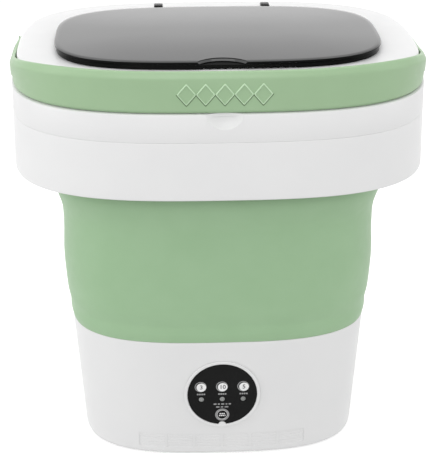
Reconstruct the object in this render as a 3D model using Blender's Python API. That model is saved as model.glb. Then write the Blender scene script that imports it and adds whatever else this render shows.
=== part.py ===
"""Folding portable washer: a rigid white base and a rigid white collar joined by a soft green bellows.

Metres, +Z up. The origin is on the floor, under the middle of the machine. The front faces -Y.
Every outline is a superellipse, given by its half width; its half depth is the half width less DEPTH_CUT.
"""

import math

import bmesh
import bpy
from mathutils import Matrix, Vector

MM = 0.001
GAP = 0.3 * MM  # clearance between pieces that touch

# Outlines
SHAPE_POWER = 3.0
DEPTH_CUT = 32 * MM
OUTLINE_STEPS = 40
ROUND_STEPS = 18

# Base
BASE_TOP = 114.4 * MM
BASE_TOP_HALF = 131.4 * MM
BASE_FOOT_HALF = BASE_TOP_HALF - 8.4 * MM
BASE_EDGE = 1.4 * MM  # height of the shell's lower edge above the floor
BASE_FILLET = 4.4 * MM
BASE_WALL = 2.5 * MM
PLATE_THICK = 2.5 * MM
FOOT_RADIUS = 9 * MM
BOSS_RADIUS = 8.5 * MM
BOSS_HEIGHT = 16 * MM
VENT_CELLS = 6
VENT_PITCH = 24.8 * MM
VENT_RIB = 2 * MM
VENT_LOW = 8 * MM
VENT_HIGH = 22 * MM
VENT_DEPTH = 1 * MM

# Washing tub and drive
TUB_FLOOR = 67.6 * MM
TUB_WALL = 2.4 * MM
BEARING_RADIUS = 9 * MM
SHAFT_RADIUS = 4 * MM
RUN_GAP = 0.3 * MM  # radial play round turning pieces
PULSATOR_RADIUS = 64 * MM
PULSATOR_LIFT = 2.4 * MM
PULSATOR_HEIGHT = 16 * MM
PULSATOR_VANES = 6
GEAR_MODULE = 1.4 * MM
GEAR_TEETH = 36
PINION_TEETH = 12
GEAR_FACE = 6 * MM
GEAR_LOW = TUB_FLOOR - 23.1 * MM
PRESSURE_ANGLE = math.radians(25)
BACKLASH = 0.35 * MM
MOTOR_RADIUS = 15 * MM
MOTOR_TOP = GEAR_LOW - 6.4 * MM
MOTOR_LOW = MOTOR_TOP - 30.1 * MM
MOTOR_SHAFT_RADIUS = 1.5 * MM
GEARBOX_WALL = 2 * MM
GEARBOX_PLATE = 2.3 * MM

# Control panel, in the frame of the sloping front wall
PANEL_Z = 62.9 * MM
PANEL_RADIUS = 30.3 * MM
BEZEL_WIDTH = 3 * MM
BEZEL_DEPTH = 12 * MM
PANEL_THICK = 1 * MM
BUTTON_RADIUS = 6.3 * MM
BUTTON_DROP = 20.3 * MM
BUTTON_TRAVEL = 0.8 * MM
LAMP_RADIUS = 2.2 * MM
LAMP_PITCH = 18.3 * MM
LAMP_DROP = 4.8 * MM

# Rear sockets
SOCKET_X = -35 * MM
SOCKET_Z = 28 * MM
DRAIN_X = 58 * MM
DRAIN_Y = 48 * MM
DRAIN_Z = 30 * MM
DRAIN_BORE = 5.6 * MM
DRAIN_WALL = 2 * MM

# Collar
COLLAR_LOW = BASE_TOP + 146.1 * MM
COLLAR_HEIGHT = 96.1 * MM
COLLAR_HALF = 175 * MM
COLLAR_LOW_HALF = COLLAR_HALF + 0.4 * MM
SEAM_Z = COLLAR_LOW + 48.5 * MM
DECK_Z = COLLAR_LOW + COLLAR_HEIGHT
LEDGE_Z = DECK_Z - 24.4 * MM  # floor of the handle's recess
COLLAR_WALL = 2.8 * MM
RIM_INSET = 5.2 * MM  # how far the handle's recess goes into the collar
LINER_LOW = SEAM_Z - 3 * MM
LINER_HALF = COLLAR_HALF - 18 * MM  # inner half width at its lower edge
FLANGE_THICK = 2.6 * MM

# Bellows
BELLOWS_WALL = 2.4 * MM

# Handle
HANDLE_HEIGHT = 33.8 * MM
HANDLE_END_HEIGHT = 18 * MM
HANDLE_TAPER = 135 * MM  # length over which each arm comes down to its end height
HANDLE_THICK = 5 * MM
HANDLE_PLAY = 1.2 * MM
HANDLE_LEAN = 1.8 * MM  # how much wider the outer face is at the top
HANDLE_STEPS = 41
PIVOT_Y = 54 * MM
PIVOT_RADIUS = 3.5 * MM
DIAMONDS = 5
DIAMOND_PITCH = 15 * MM
DIAMOND_HALF = 7.8 * MM
DIAMOND_HALF_HEIGHT = 9.3 * MM
DIAMOND_RISE = 0.8 * MM

# Lid
LID_HALF = COLLAR_HALF - 37 * MM
LID_HALF_DEPTH = COLLAR_HALF - DEPTH_CUT - 45.5 * MM
LID_MIDDLE_Y = -4 * MM
LID_POWER = 3.3
LID_THICK = 2.5 * MM
LID_CROWN = 1.2 * MM
LID_TOP = DECK_Z + 7 * MM
LID_SKIRT_INSET = 1.2 * MM
LID_SKIRT_WIDTH = 3 * MM
LID_FLANGE_WIDTH = 14 * MM
LID_FLANGE_THICK = 1.5 * MM
OPENING_INSET = 9 * MM
NOTCH_CHORD = 40 * MM
NOTCH_DEPTH = 11 * MM
HINGE_X = 49 * MM
HINGE_BACK = 8.5 * MM  # hinge axis behind the lid's rear edge
HINGE_Z = DECK_Z + 2.6 * MM
EAR_WIDTH = 7.5 * MM
HINGE_PIN_RADIUS = 1.2 * MM

# Colour, roughness, metallic
FINISHES = {
    "white_plastic": ((0.86, 0.86, 0.86), 0.35, 0.0),
    "green_plastic": ((0.36, 0.55, 0.33), 0.42, 0.0),
    "green_silicone": ((0.36, 0.55, 0.33), 0.55, 0.0),
    "smoked_lid": ((0.16, 0.16, 0.16), 0.12, 0.0),
    "black_plastic": ((0.012, 0.012, 0.012), 0.25, 0.0),
    "clear_lens": ((0.75, 0.78, 0.76), 0.2, 0.0),
    "black_rubber": ((0.02, 0.02, 0.02), 0.8, 0.0),
    "steel": ((0.6, 0.6, 0.62), 0.3, 1.0),
    "motor_steel": ((0.45, 0.46, 0.48), 0.4, 1.0),
    "gear_plastic": ((0.78, 0.77, 0.7), 0.5, 0.0),
    "board": ((0.03, 0.2, 0.08), 0.5, 0.0),
    "wire": ((0.25, 0.02, 0.02), 0.6, 0.0),
}


# ---- Mesh helpers ----


def finish(name):
    made = bpy.data.materials.get(name)
    if made:
        return made
    made = bpy.data.materials.new(name)
    made.use_nodes = True
    colour, roughness, metallic = FINISHES[name]
    shader = made.node_tree.nodes["Principled BSDF"]
    shader.inputs["Base Color"].default_value = (*colour, 1)
    shader.inputs["Roughness"].default_value = roughness
    shader.inputs["Metallic"].default_value = metallic
    return made


def add_object(name, mesh, material, location=(0, 0, 0), tilt=0.0):
    """Links a mesh as an object; tilt turns it about X."""
    made = bpy.data.objects.new(name, mesh)
    bpy.context.scene.collection.objects.link(made)
    made.location = location
    made.rotation_euler = (tilt, 0, 0)
    if material:
        mesh.materials.append(finish(material))
    mesh.shade_smooth()
    mesh.set_sharp_from_angle(angle=math.radians(30))
    return made


def mesh_of(name, shape):
    """Turns a bmesh into a mesh whose faces point out."""
    bmesh.ops.recalc_face_normals(shape, faces=shape.faces)
    mesh = bpy.data.meshes.new(name)
    shape.to_mesh(mesh)
    shape.free()
    return mesh


def skin(shape, loops, wrap_loops, wrap_points=True):
    """Joins successive loops of vertices by quads, or by triangles where a loop is one point."""
    pairs = list(zip(loops, loops[1:] + loops[:1]))
    if not wrap_loops:
        pairs = pairs[:-1]
    for low, high in pairs:
        count = max(len(low), len(high))
        for i in range(count if wrap_points else count - 1):
            j = (i + 1) % count
            corners = [
                low[i % len(low)],
                low[j % len(low)],
                high[j % len(high)],
                high[i % len(high)],
            ]
            face = list(dict.fromkeys(corners))
            shape.faces.new(face)


def ring(half, z, cut=DEPTH_CUT, power=SHAPE_POWER, middle_y=0.0):
    """One outline of a loft."""
    return {"a": half, "b": half - cut, "power": power, "y": middle_y, "x": 0.0, "z": z}


def circle(radius, z):
    return ring(radius, z, cut=0.0, power=2.0)


def lid_ring(inset, z):
    return {
        "a": LID_HALF - inset,
        "b": LID_HALF_DEPTH - inset,
        "power": LID_POWER,
        "y": LID_MIDDLE_Y,
        "x": 0.0,
        "z": z,
    }


def outline_point(outline, angle):
    c, s = math.cos(angle), math.sin(angle)
    share = 2 / outline["power"]
    return Vector(
        (
            outline["x"] + outline["a"] * math.copysign(abs(c) ** share, c),
            outline["y"] + outline["b"] * math.copysign(abs(s) ** share, s),
            outline["z"],
        )
    )


def loft(name, rings, closed, steps=OUTLINE_STEPS):
    """A solid through a list of outlines: a closed loop of them, or an open one with flat ends."""
    shape = bmesh.new()
    loops = []
    for outline in rings:
        points = [
            outline_point(outline, 2 * math.pi * i / steps) for i in range(steps)
        ]
        loops.append([shape.verts.new(p) for p in points])
    skin(shape, loops, wrap_loops=closed)
    if not closed:
        shape.faces.new(loops[0])
        shape.faces.new(loops[-1])
    return mesh_of(name, shape)


def turned(name, profile, closed=False, steps=ROUND_STEPS):
    """A solid of revolution about Z from (radius, height) points.

    An open profile starts and ends on the axis.
    """
    shape = bmesh.new()
    loops = []
    for radius, z in profile:
        if radius == 0:
            loops.append([shape.verts.new((0, 0, z))])
            continue
        turn = 2 * math.pi / steps
        loops.append(
            [
                shape.verts.new(
                    (radius * math.cos(turn * i), radius * math.sin(turn * i), z)
                )
                for i in range(steps)
            ]
        )
    skin(shape, loops, wrap_loops=closed)
    return mesh_of(name, shape)


def rod(name, radius, low, high, steps=ROUND_STEPS):
    return turned(name, [(0, low), (radius, low), (radius, high), (0, high)], steps=steps)


def tube(name, inner, outer, low, high, steps=ROUND_STEPS):
    profile = [(inner, low), (outer, low), (outer, high), (inner, high)]
    return turned(name, profile, closed=True, steps=steps)


def prism(name, outline, low, high):
    """An upright solid with a flat outline of (x, y) points."""
    shape = bmesh.new()
    loops = [[shape.verts.new((x, y, z)) for x, y in outline] for z in (low, high)]
    skin(shape, loops, wrap_loops=False)
    for loop in loops:
        shape.faces.new(loop)
    return mesh_of(name, shape)


def block(name, width, depth, low, high):
    x, y = width / 2, depth / 2
    return prism(name, [(-x, -y), (x, -y), (x, y), (-x, y)], low, high)


def swept(name, sections):
    """A solid through open cross sections, each a list of points, with flat ends."""
    shape = bmesh.new()
    loops = [[shape.verts.new(p) for p in section] for section in sections]
    skin(shape, loops, wrap_loops=False)
    shape.faces.new(loops[0])
    shape.faces.new(loops[-1])
    return mesh_of(name, shape)


def use_tool(target, mesh, operation="DIFFERENCE", **place):
    """Cuts a hidden tool from target, or joins it on."""
    tool = add_object(f"{target.name}_tool", mesh, None, **place)
    tool.hide_render = True
    tool.display_type = "WIRE"
    modifier = target.modifiers.new(operation.title(), "BOOLEAN")
    modifier.operation = operation
    modifier.object = tool
    return tool


# ---- Shared outlines ----


def base_half(z):
    """Half width of the base's sloping outer wall."""
    low = BASE_EDGE + BASE_FILLET
    return BASE_FOOT_HALF + (BASE_TOP_HALF - BASE_FOOT_HALF) * (z - low) / (
        BASE_TOP - low
    )


def wall_y(half, x):
    """Distance from the middle to the front or rear wall of an outline, at x."""
    share = min(1.0, abs(x) / half) ** SHAPE_POWER
    return (half - DEPTH_CUT) * (1 - share) ** (1 / SHAPE_POWER)


def wall_x(half, y):
    share = min(1.0, abs(y) / (half - DEPTH_CUT)) ** SHAPE_POWER
    return half * (1 - share) ** (1 / SHAPE_POWER)


def wall_lean():
    """Angle by which the base's front wall faces down."""
    rise = BASE_TOP - BASE_EDGE - BASE_FILLET
    return math.atan2(BASE_TOP_HALF - BASE_FOOT_HALF, rise)


def panel_place():
    """Origin and tilt of the control panel's frame: its Z points out of the front wall."""
    location = (0, -(base_half(PANEL_Z) - DEPTH_CUT), PANEL_Z)
    return {"location": location, "tilt": math.pi / 2 + wall_lean()}


def panel_point(x, up, out):
    """A point given in the panel's frame."""
    place = panel_place()
    turn = Matrix.Rotation(place["tilt"], 4, "X")
    return Vector(place["location"]) + turn @ Vector((x, up, out))


def around_panel(x, up):
    return {"location": panel_point(x, up, 0), "tilt": panel_place()["tilt"]}


# ---- Base ----


def plate_top():
    return BASE_EDGE + 1 * MM + PLATE_THICK


def boss_places():
    """Four screw bosses set against the corners of the base's inner wall."""
    half = base_half(BOSS_HEIGHT) - BASE_WALL
    corner = 0.5 ** (1 / SHAPE_POWER)
    back_off = (BOSS_RADIUS - 0.9 * MM) / math.sqrt(2)
    x = half * corner - back_off
    y = (half - DEPTH_CUT) * corner - back_off
    return [(sx * x, sy * y) for sx in (-1, 1) for sy in (-1, 1)]


def vent_sections(left, right):
    """Cross sections of one vent recess, following the front wall."""
    sections = []
    for i in range(4):
        x = left + (right - left) * i / 3
        section = []
        for z, depth in (
            (VENT_LOW, VENT_DEPTH),
            (VENT_LOW, -6 * MM),
            (VENT_HIGH, -6 * MM),
            (VENT_HIGH, VENT_DEPTH),
        ):
            section.append(Vector((x, -wall_y(base_half(z) - depth, x), z)))
        sections.append(section)
    return sections


def make_base_shell():
    foot = BASE_FOOT_HALF
    inner_low = base_half(BASE_EDGE + BASE_FILLET) - BASE_WALL
    rings = [
        ring(foot - 0.7 * BASE_FILLET, BASE_EDGE),
        ring(foot - 0.25 * BASE_FILLET, BASE_EDGE + 0.3 * BASE_FILLET),
        ring(foot, BASE_EDGE + BASE_FILLET),
        ring(BASE_TOP_HALF, BASE_TOP),
        ring(BASE_TOP_HALF - BASE_WALL, BASE_TOP),
        ring(inner_low, BASE_EDGE + BASE_FILLET + 1 * MM),
        ring(foot - 0.7 * BASE_FILLET - 1.6 * MM, BASE_EDGE),
    ]
    shell = add_object("base_shell", loft("base_shell", rings, True), "white_plastic")
    for i, (x, y) in enumerate(boss_places()):
        boss = rod(f"boss_{i}", BOSS_RADIUS, plate_top() + GAP, BOSS_HEIGHT + 6 * MM, 16)
        use_tool(shell, boss, "UNION", location=(x, y, 0))
        pilot = rod(f"pilot_{i}", 1.8 * MM, 0, BOSS_HEIGHT, 10)
        use_tool(shell, pilot, location=(x, y, 0))
    hole = rod("panel_hole", PANEL_RADIUS + 1.3 * MM, -25 * MM, 12 * MM, 36)
    use_tool(shell, hole, **panel_place())
    socket_hole = rod("socket_hole", 5.8 * MM, -25 * MM, 12 * MM, 16)
    use_tool(shell, socket_hole, location=socket_place(), tilt=-math.pi / 2)
    drain_hole = rod("drain_hole", DRAIN_BORE + DRAIN_WALL + GAP, -25 * MM, 12 * MM, 16)
    use_tool(shell, drain_hole, location=drain_mouth(), tilt=-math.pi / 2)
    first = -VENT_CELLS / 2 * VENT_PITCH
    for cell in range(VENT_CELLS):
        left = first + cell * VENT_PITCH + VENT_RIB / 2
        right = left + VENT_PITCH - VENT_RIB
        use_tool(shell, swept(f"vent_{cell}", vent_sections(left, right)))


def make_bottom_plate():
    half = BASE_FOOT_HALF - 0.7 * BASE_FILLET - 1.6 * MM - GAP
    low = plate_top() - PLATE_THICK
    mesh = loft("bottom_plate", [ring(half, low), ring(half, plate_top())], False)
    plate = add_object("bottom_plate", mesh, "white_plastic")
    for i, (x, y) in enumerate(boss_places()):
        hole = rod(f"plate_hole_{i}", 1.9 * MM, 0, 10 * MM, 10)
        use_tool(plate, hole, location=(x, y, 0))
    for i, (x, y) in enumerate(boss_places()):
        where = f"{'front' if y < 0 else 'rear'}_{'left' if x < 0 else 'right'}"
        head = (3.4 * MM, low - GAP)
        profile = [
            (0, low - GAP - 1.6 * MM),
            (head[0], low - GAP - 1.6 * MM),
            head,
            (1.5 * MM, low - GAP),
            (1.5 * MM, BOSS_HEIGHT - 2 * MM),
            (0, BOSS_HEIGHT - 2 * MM),
        ]
        screw = turned(f"base_screw_{where}", profile, steps=10)
        add_object(f"base_screw_{where}", screw, "steel", location=(x, y, 0))
        inward = 1 - 2.6 * FOOT_RADIUS / math.hypot(x, y)
        foot = [
            (0, 0),
            (FOOT_RADIUS - 1 * MM, 0),
            (FOOT_RADIUS, 1 * MM),
            (FOOT_RADIUS, low - GAP),
            (0, low - GAP),
        ]
        mesh = turned(f"foot_{where}", foot, steps=16)
        add_object(f"foot_{where}", mesh, "black_rubber", location=(x * inward, y * inward, 0))


# ---- Tub, drive and drain ----


def tub_rim_half():
    """Outer half width of the tub's rim, inside the bellows' lower bead."""
    return BASE_TOP_HALF - BASE_WALL - 3.3 * MM


def bead_low():
    return BASE_TOP - 6.5 * MM


def shell_inner_half(z):
    """Half width of the base shell's inner wall."""
    low = BASE_EDGE + BASE_FILLET + 1 * MM
    inner_low = BASE_FOOT_HALF - BASE_WALL
    share = (z - low) / (BASE_TOP - low)
    return inner_low + (BASE_TOP_HALF - BASE_WALL - inner_low) * share


def tub_half(z):
    """Outer half width of the tub's wall, which stands behind the control panel."""
    return base_half(z) - BASE_WALL - BEZEL_DEPTH - 1.5 * MM


def make_tub():
    rim = tub_rim_half()
    flange_top = bead_low() - GAP
    flange_low = flange_top - 3.4 * MM
    floor_top = TUB_FLOOR + TUB_WALL
    bore = BEARING_RADIUS + GAP
    boss_low = TUB_FLOOR - 7.6 * MM
    wall_low, wall_high = TUB_FLOOR + 8 * MM, PANEL_Z + PANEL_RADIUS + BEZEL_WIDTH + 1 * MM
    rings = [
        circle(bore, boss_low),
        circle(bore + 5 * MM, boss_low),
        circle(bore + 5 * MM, TUB_FLOOR),
        ring(tub_half(wall_low) - 6 * MM, TUB_FLOOR),
        ring(tub_half(wall_low), wall_low),
        ring(tub_half(wall_high), wall_high),
        ring(rim - 0.8 * MM, flange_low),
        ring(shell_inner_half(flange_low) - GAP, flange_low),
        ring(shell_inner_half(flange_low) - GAP, flange_top),
        ring(rim, flange_top),
        ring(rim, BASE_TOP - GAP),
        ring(rim - TUB_WALL, BASE_TOP - GAP),
        ring(rim - TUB_WALL, flange_low),
        ring(tub_half(wall_high) - TUB_WALL, wall_high + 1 * MM),
        ring(tub_half(wall_low) - TUB_WALL, wall_low + 1.5 * MM),
        ring(tub_half(wall_low) - 7.5 * MM, floor_top),
        circle(bore, floor_top),
    ]
    tub = add_object("washing_tub", loft("washing_tub", rings, True), "white_plastic")
    drain = rod("tub_drain", DRAIN_BORE, TUB_FLOOR - 5 * MM, floor_top + 5 * MM, 16)
    use_tool(tub, drain, location=(DRAIN_X, DRAIN_Y, 0))


def make_bearings():
    inner = SHAFT_RADIUS + RUN_GAP
    low = TUB_FLOOR - 7.6 * MM
    bearing = tube("shaft_bearing", inner, BEARING_RADIUS, low, low + 6.7 * MM)
    add_object("shaft_bearing", bearing, "steel")
    seal = tube("shaft_seal", inner, BEARING_RADIUS, low + 7 * MM, TUB_FLOOR + TUB_WALL)
    add_object("shaft_seal", seal, "black_rubber")
    plate_low = gearbox_plate_low()
    bush = tube("lower_bush", inner, inner + 2.8 * MM, plate_low - 1 * MM, plate_low + 2.8 * MM)
    add_object("lower_bush", bush, "gear_plastic")


def pulsator_low():
    return TUB_FLOOR + TUB_WALL + PULSATOR_LIFT


def make_pulsator():
    low = pulsator_low()
    top = low + PULSATOR_HEIGHT
    bore = SHAFT_RADIUS + GAP
    shaft_top = low + 10.6 * MM
    screw_bore = 2.1 * MM
    seat = top - 2.4 * MM
    profile = [
        (bore, low),
        (PULSATOR_RADIUS - 1 * MM, low),
        (PULSATOR_RADIUS, low + 1 * MM),
        (PULSATOR_RADIUS, low + 2.5 * MM),
        (PULSATOR_RADIUS * 0.9, low + 4 * MM),
        (24 * MM, low + 7 * MM),
        (14 * MM, top - 2 * MM),
        (11 * MM, top),
        (4.6 * MM, top),
        (4.6 * MM, seat),
        (screw_bore, seat),
        (screw_bore, shaft_top + GAP),
        (bore, shaft_top + GAP),
    ]
    mesh = turned("pulsator", profile, closed=True, steps=30)
    pulsator = add_object("pulsator", mesh, "white_plastic")
    for i in range(PULSATOR_VANES):
        turn = Matrix.Rotation(2 * math.pi * i / PULSATOR_VANES, 4, "Z")
        sections = []
        for share in (0.0, 0.25, 0.5, 0.75, 1.0):
            radius = 13 * MM + (PULSATOR_RADIUS - 17 * MM) * share
            sweep = 10 * MM * math.sin(math.pi * share / 2)
            wide = (3.2 - 1.2 * share) * MM
            high = top - 1.5 * MM - (PULSATOR_HEIGHT - 9 * MM) * share
            section = [
                (radius, sweep - 1.6 * wide, low + 2 * MM),
                (radius, sweep - 0.7 * wide, high),
                (radius, sweep + 0.7 * wide, high),
                (radius, sweep + 1.6 * wide, low + 2 * MM),
            ]
            sections.append([turn @ Vector(p) for p in section])
        use_tool(pulsator, swept(f"vane_{i}", sections), "UNION")
    shaft = [
        (0, gearbox_plate_low() - 2 * MM),
        (SHAFT_RADIUS, gearbox_plate_low() - 2 * MM),
        (SHAFT_RADIUS, shaft_top),
        (1.9 * MM, shaft_top),
        (1.9 * MM, shaft_top - 10 * MM),
        (0, shaft_top - 10 * MM),
    ]
    add_object("output_shaft", turned("output_shaft", shaft), "steel")
    screw = [
        (0, shaft_top - 9 * MM),
        (1.6 * MM, shaft_top - 9 * MM),
        (1.6 * MM, seat + GAP),
        (4.2 * MM, seat + GAP),
        (4.2 * MM, seat + 1.6 * MM),
        (3 * MM, seat + 2.6 * MM),
        (0, seat + 2.6 * MM),
    ]
    add_object("pulsator_screw", turned("pulsator_screw", screw, steps=12), "steel")


def gear_outline(teeth, centre_angle):
    """Involute teeth, one of them centred on centre_angle."""
    pitch = GEAR_MODULE * teeth / 2
    base = pitch * math.cos(PRESSURE_ANGLE)
    tip = pitch + 0.9 * GEAR_MODULE
    root = pitch - 1.2 * GEAR_MODULE
    at_pitch = math.pi / (2 * teeth) - BACKLASH / (4 * pitch)

    def half_angle(radius):
        roll = math.acos(min(1.0, base / radius))
        involute = math.tan(roll) - roll
        return at_pitch + math.tan(PRESSURE_ANGLE) - PRESSURE_ANGLE - involute

    start = max(base, root)
    flank = [(root, half_angle(start)), (pitch, half_angle(pitch)), (tip, half_angle(tip))]
    if start > root:
        flank.insert(1, (start, half_angle(start)))
    points = []
    for tooth in range(teeth):
        middle = centre_angle + 2 * math.pi * tooth / teeth
        for radius, half in flank:
            points.append((radius * math.cos(middle - half), radius * math.sin(middle - half)))
        for radius, half in reversed(flank):
            points.append((radius * math.cos(middle + half), radius * math.sin(middle + half)))
    return points


def gear_centres():
    return GEAR_MODULE * (GEAR_TEETH + PINION_TEETH) / 2


def make_gears():
    up = math.pi / 2
    wheel_top = GEAR_LOW + GEAR_FACE
    mesh = prism("drive_gear", gear_outline(GEAR_TEETH, up), GEAR_LOW, wheel_top)
    wheel = add_object("drive_gear", mesh, "gear_plastic")
    bore = rod("wheel_bore", SHAFT_RADIUS + GAP, GEAR_LOW - 5 * MM, wheel_top + 5 * MM)
    use_tool(wheel, bore)
    gap_at = -up + math.pi / PINION_TEETH
    outline = gear_outline(PINION_TEETH, gap_at)
    mesh = prism("motor_pinion", outline, GEAR_LOW - 0.7 * MM, wheel_top + 0.7 * MM)
    pinion = add_object("motor_pinion", mesh, "steel", location=(0, gear_centres(), 0))
    bore = rod("pinion_bore", MOTOR_SHAFT_RADIUS + GAP, GEAR_LOW - 5 * MM, wheel_top + 5 * MM, 12)
    use_tool(pinion, bore, location=(0, gear_centres(), 0))
    shaft = rod("motor_shaft", MOTOR_SHAFT_RADIUS, MOTOR_TOP - 17 * MM, wheel_top + 1.5 * MM, 12)
    add_object("motor_shaft", shaft, "steel", location=(0, gear_centres(), 0))


def make_motor():
    low, top, radius = MOTOR_LOW, MOTOR_TOP, MOTOR_RADIUS
    bore = MOTOR_SHAFT_RADIUS + RUN_GAP
    profile = [
        (0, low),
        (radius - 2 * MM, low),
        (radius, low + 2 * MM),
        (radius, top - 1.5 * MM),
        (radius - 1.5 * MM, top),
        (bore, top),
        (bore, top - 18 * MM),
        (0, top - 18 * MM),
    ]
    motor = turned("drive_motor", profile, steps=24)
    motor = add_object("drive_motor", motor, "motor_steel", location=(0, gear_centres(), 0))
    plate_low = gearbox_plate_low()
    for side, name in ((-1, "left"), (1, "right")):
        place = (side * 10 * MM, gear_centres(), 0)
        use_tool(motor, rod("motor_tap", 1.6 * MM, top - 7 * MM, top + 5 * MM, 10), location=place)
        top_face = plate_low + GEARBOX_PLATE
        profile = [
            (0, top - 5 * MM),
            (1.2 * MM, top - 5 * MM),
            (1.2 * MM, top_face + GAP),
            (2.4 * MM, top_face + GAP),
            (2.4 * MM, top_face + 1.6 * MM),
            (0, top_face + 1.6 * MM),
        ]
        screw = turned(f"motor_screw_{name}", profile, steps=10)
        add_object(f"motor_screw_{name}", screw, "steel", location=place)


def gearbox_plate_low():
    return MOTOR_TOP + GAP


def gearbox_outline(offset):
    """Two circles and their outer tangents, round the drive gear and the motor."""
    big = GEAR_MODULE * (GEAR_TEETH / 2 + 0.9) + 3.2 * MM + offset
    small = MOTOR_RADIUS + 4.5 * MM + offset
    distance = gear_centres()
    lean = math.asin((big - small) / distance)
    points = []
    steps = 12
    for i in range(steps + 1):
        angle = lean + (-math.pi - 2 * lean) * i / steps
        points.append((big * math.cos(angle), big * math.sin(angle)))
    for i in range(steps + 1):
        angle = math.pi - lean + (-math.pi + 2 * lean) * i / steps
        points.append((small * math.cos(angle), distance + small * math.sin(angle)))
    return points


def make_gearbox():
    low = gearbox_plate_low()
    top = low + GEARBOX_PLATE
    mesh = prism("gearbox_plate", gearbox_outline(0), low, top)
    plate = add_object("gearbox_plate", mesh, "gear_plastic")
    far = gear_centres()
    bush_outer = SHAFT_RADIUS + RUN_GAP + 2.8 * MM
    holes = [
        (bush_outer + GAP, 0, 0),
        (MOTOR_SHAFT_RADIUS + 2 * MM, 0, far),
        (1.6 * MM, -10 * MM, far),
        (1.6 * MM, 10 * MM, far),
    ]
    for radius, x, y in holes:
        use_tool(plate, rod("plate_bore", radius, low - 5 * MM, top + 5 * MM, 14), location=(x, y, 0))
    roof = TUB_FLOOR - 7.6 * MM - GAP
    outer = prism("gearbox_cover", gearbox_outline(0), top + GAP, roof)
    cover = add_object("gearbox_cover", outer, "gear_plastic")
    room = prism("gearbox_room", gearbox_outline(-GEARBOX_WALL), top - 5 * MM, roof - GEARBOX_WALL)
    use_tool(cover, room)
    use_tool(cover, rod("cover_bore", SHAFT_RADIUS + 1 * MM, top, roof + 5 * MM, 14))


def drain_mouth():
    """Where the drain pipe leaves the rear wall."""
    return (DRAIN_X, wall_y(base_half(DRAIN_Z), DRAIN_X), DRAIN_Z)


def pipe_mesh(name, path, outer, inner, steps=12):
    """A hollow pipe that lies in the plane x = constant and follows path."""
    shape = bmesh.new()
    loops = {outer: [], inner: []}
    for i, point in enumerate(path):
        before, after = path[max(0, i - 1)], path[min(len(path) - 1, i + 1)]
        along = (after - before).normalized()
        side = Vector((1, 0, 0))
        up = along.cross(side)
        for radius, found in loops.items():
            turn = 2 * math.pi / steps
            found.append(
                [
                    shape.verts.new(
                        point
                        + radius * math.cos(turn * k) * side
                        + radius * math.sin(turn * k) * up
                    )
                    for k in range(steps)
                ]
            )
    skin(shape, loops[outer] + loops[inner][::-1], wrap_loops=True)
    return mesh_of(name, shape)


def make_drain():
    bend = 14 * MM
    top = TUB_FLOOR - GAP
    mouth = Vector(drain_mouth())
    end = mouth + Vector((0, 9 * MM, 0))
    path = [Vector((DRAIN_X, DRAIN_Y, top))]
    for i in range(6):
        angle = math.pi / 2 * i / 5
        y = DRAIN_Y + bend * (1 - math.cos(angle))
        z = DRAIN_Z + bend * (1 - math.sin(angle))
        path.append(Vector((DRAIN_X, y, z)))
    path.append(end)
    elbow = pipe_mesh("drain_elbow", path, DRAIN_BORE + DRAIN_WALL, DRAIN_BORE)
    add_object("drain_elbow", elbow, "white_plastic")
    stem = DRAIN_BORE - GAP - 0.2 * MM
    cap = DRAIN_BORE + DRAIN_WALL
    profile = [
        (0, -11 * MM),
        (stem - 1 * MM, -11 * MM),
        (stem, -9 * MM),
        (stem, GAP),
        (cap, GAP),
        (cap, 3 * MM),
        (cap - 1 * MM, 4 * MM),
        (0, 4 * MM),
    ]
    plug = turned("drain_plug", profile, steps=16)
    add_object("drain_plug", plug, "black_rubber", location=end, tilt=-math.pi / 2)


def socket_place():
    return (SOCKET_X, wall_y(base_half(SOCKET_Z), SOCKET_X), SOCKET_Z)


def make_power_socket():
    """A low-voltage barrel socket: its Z points out of the rear wall."""
    profile = [
        (3.1 * MM, 2 * MM),
        (3.1 * MM, -9 * MM),
        (1 * MM, -9 * MM),
        (1 * MM, 0.5 * MM),
        (0, 0.5 * MM),
        (0, -13 * MM),
        (5.5 * MM, -13 * MM),
        (5.5 * MM, 0.8 * MM),
        (7.5 * MM, 0.8 * MM),
        (7.5 * MM, 2 * MM),
    ]
    shape = [p for p in profile if p[0] > 0]
    order = [(0, 0.5 * MM)] + shape[3::-1] + shape[:3:-1] + [(0, -13 * MM)]
    mesh = turned("power_socket", order, steps=14)
    add_object("power_socket", mesh, "black_plastic", location=socket_place(), tilt=-math.pi / 2)


# ---- Control panel ----


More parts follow.
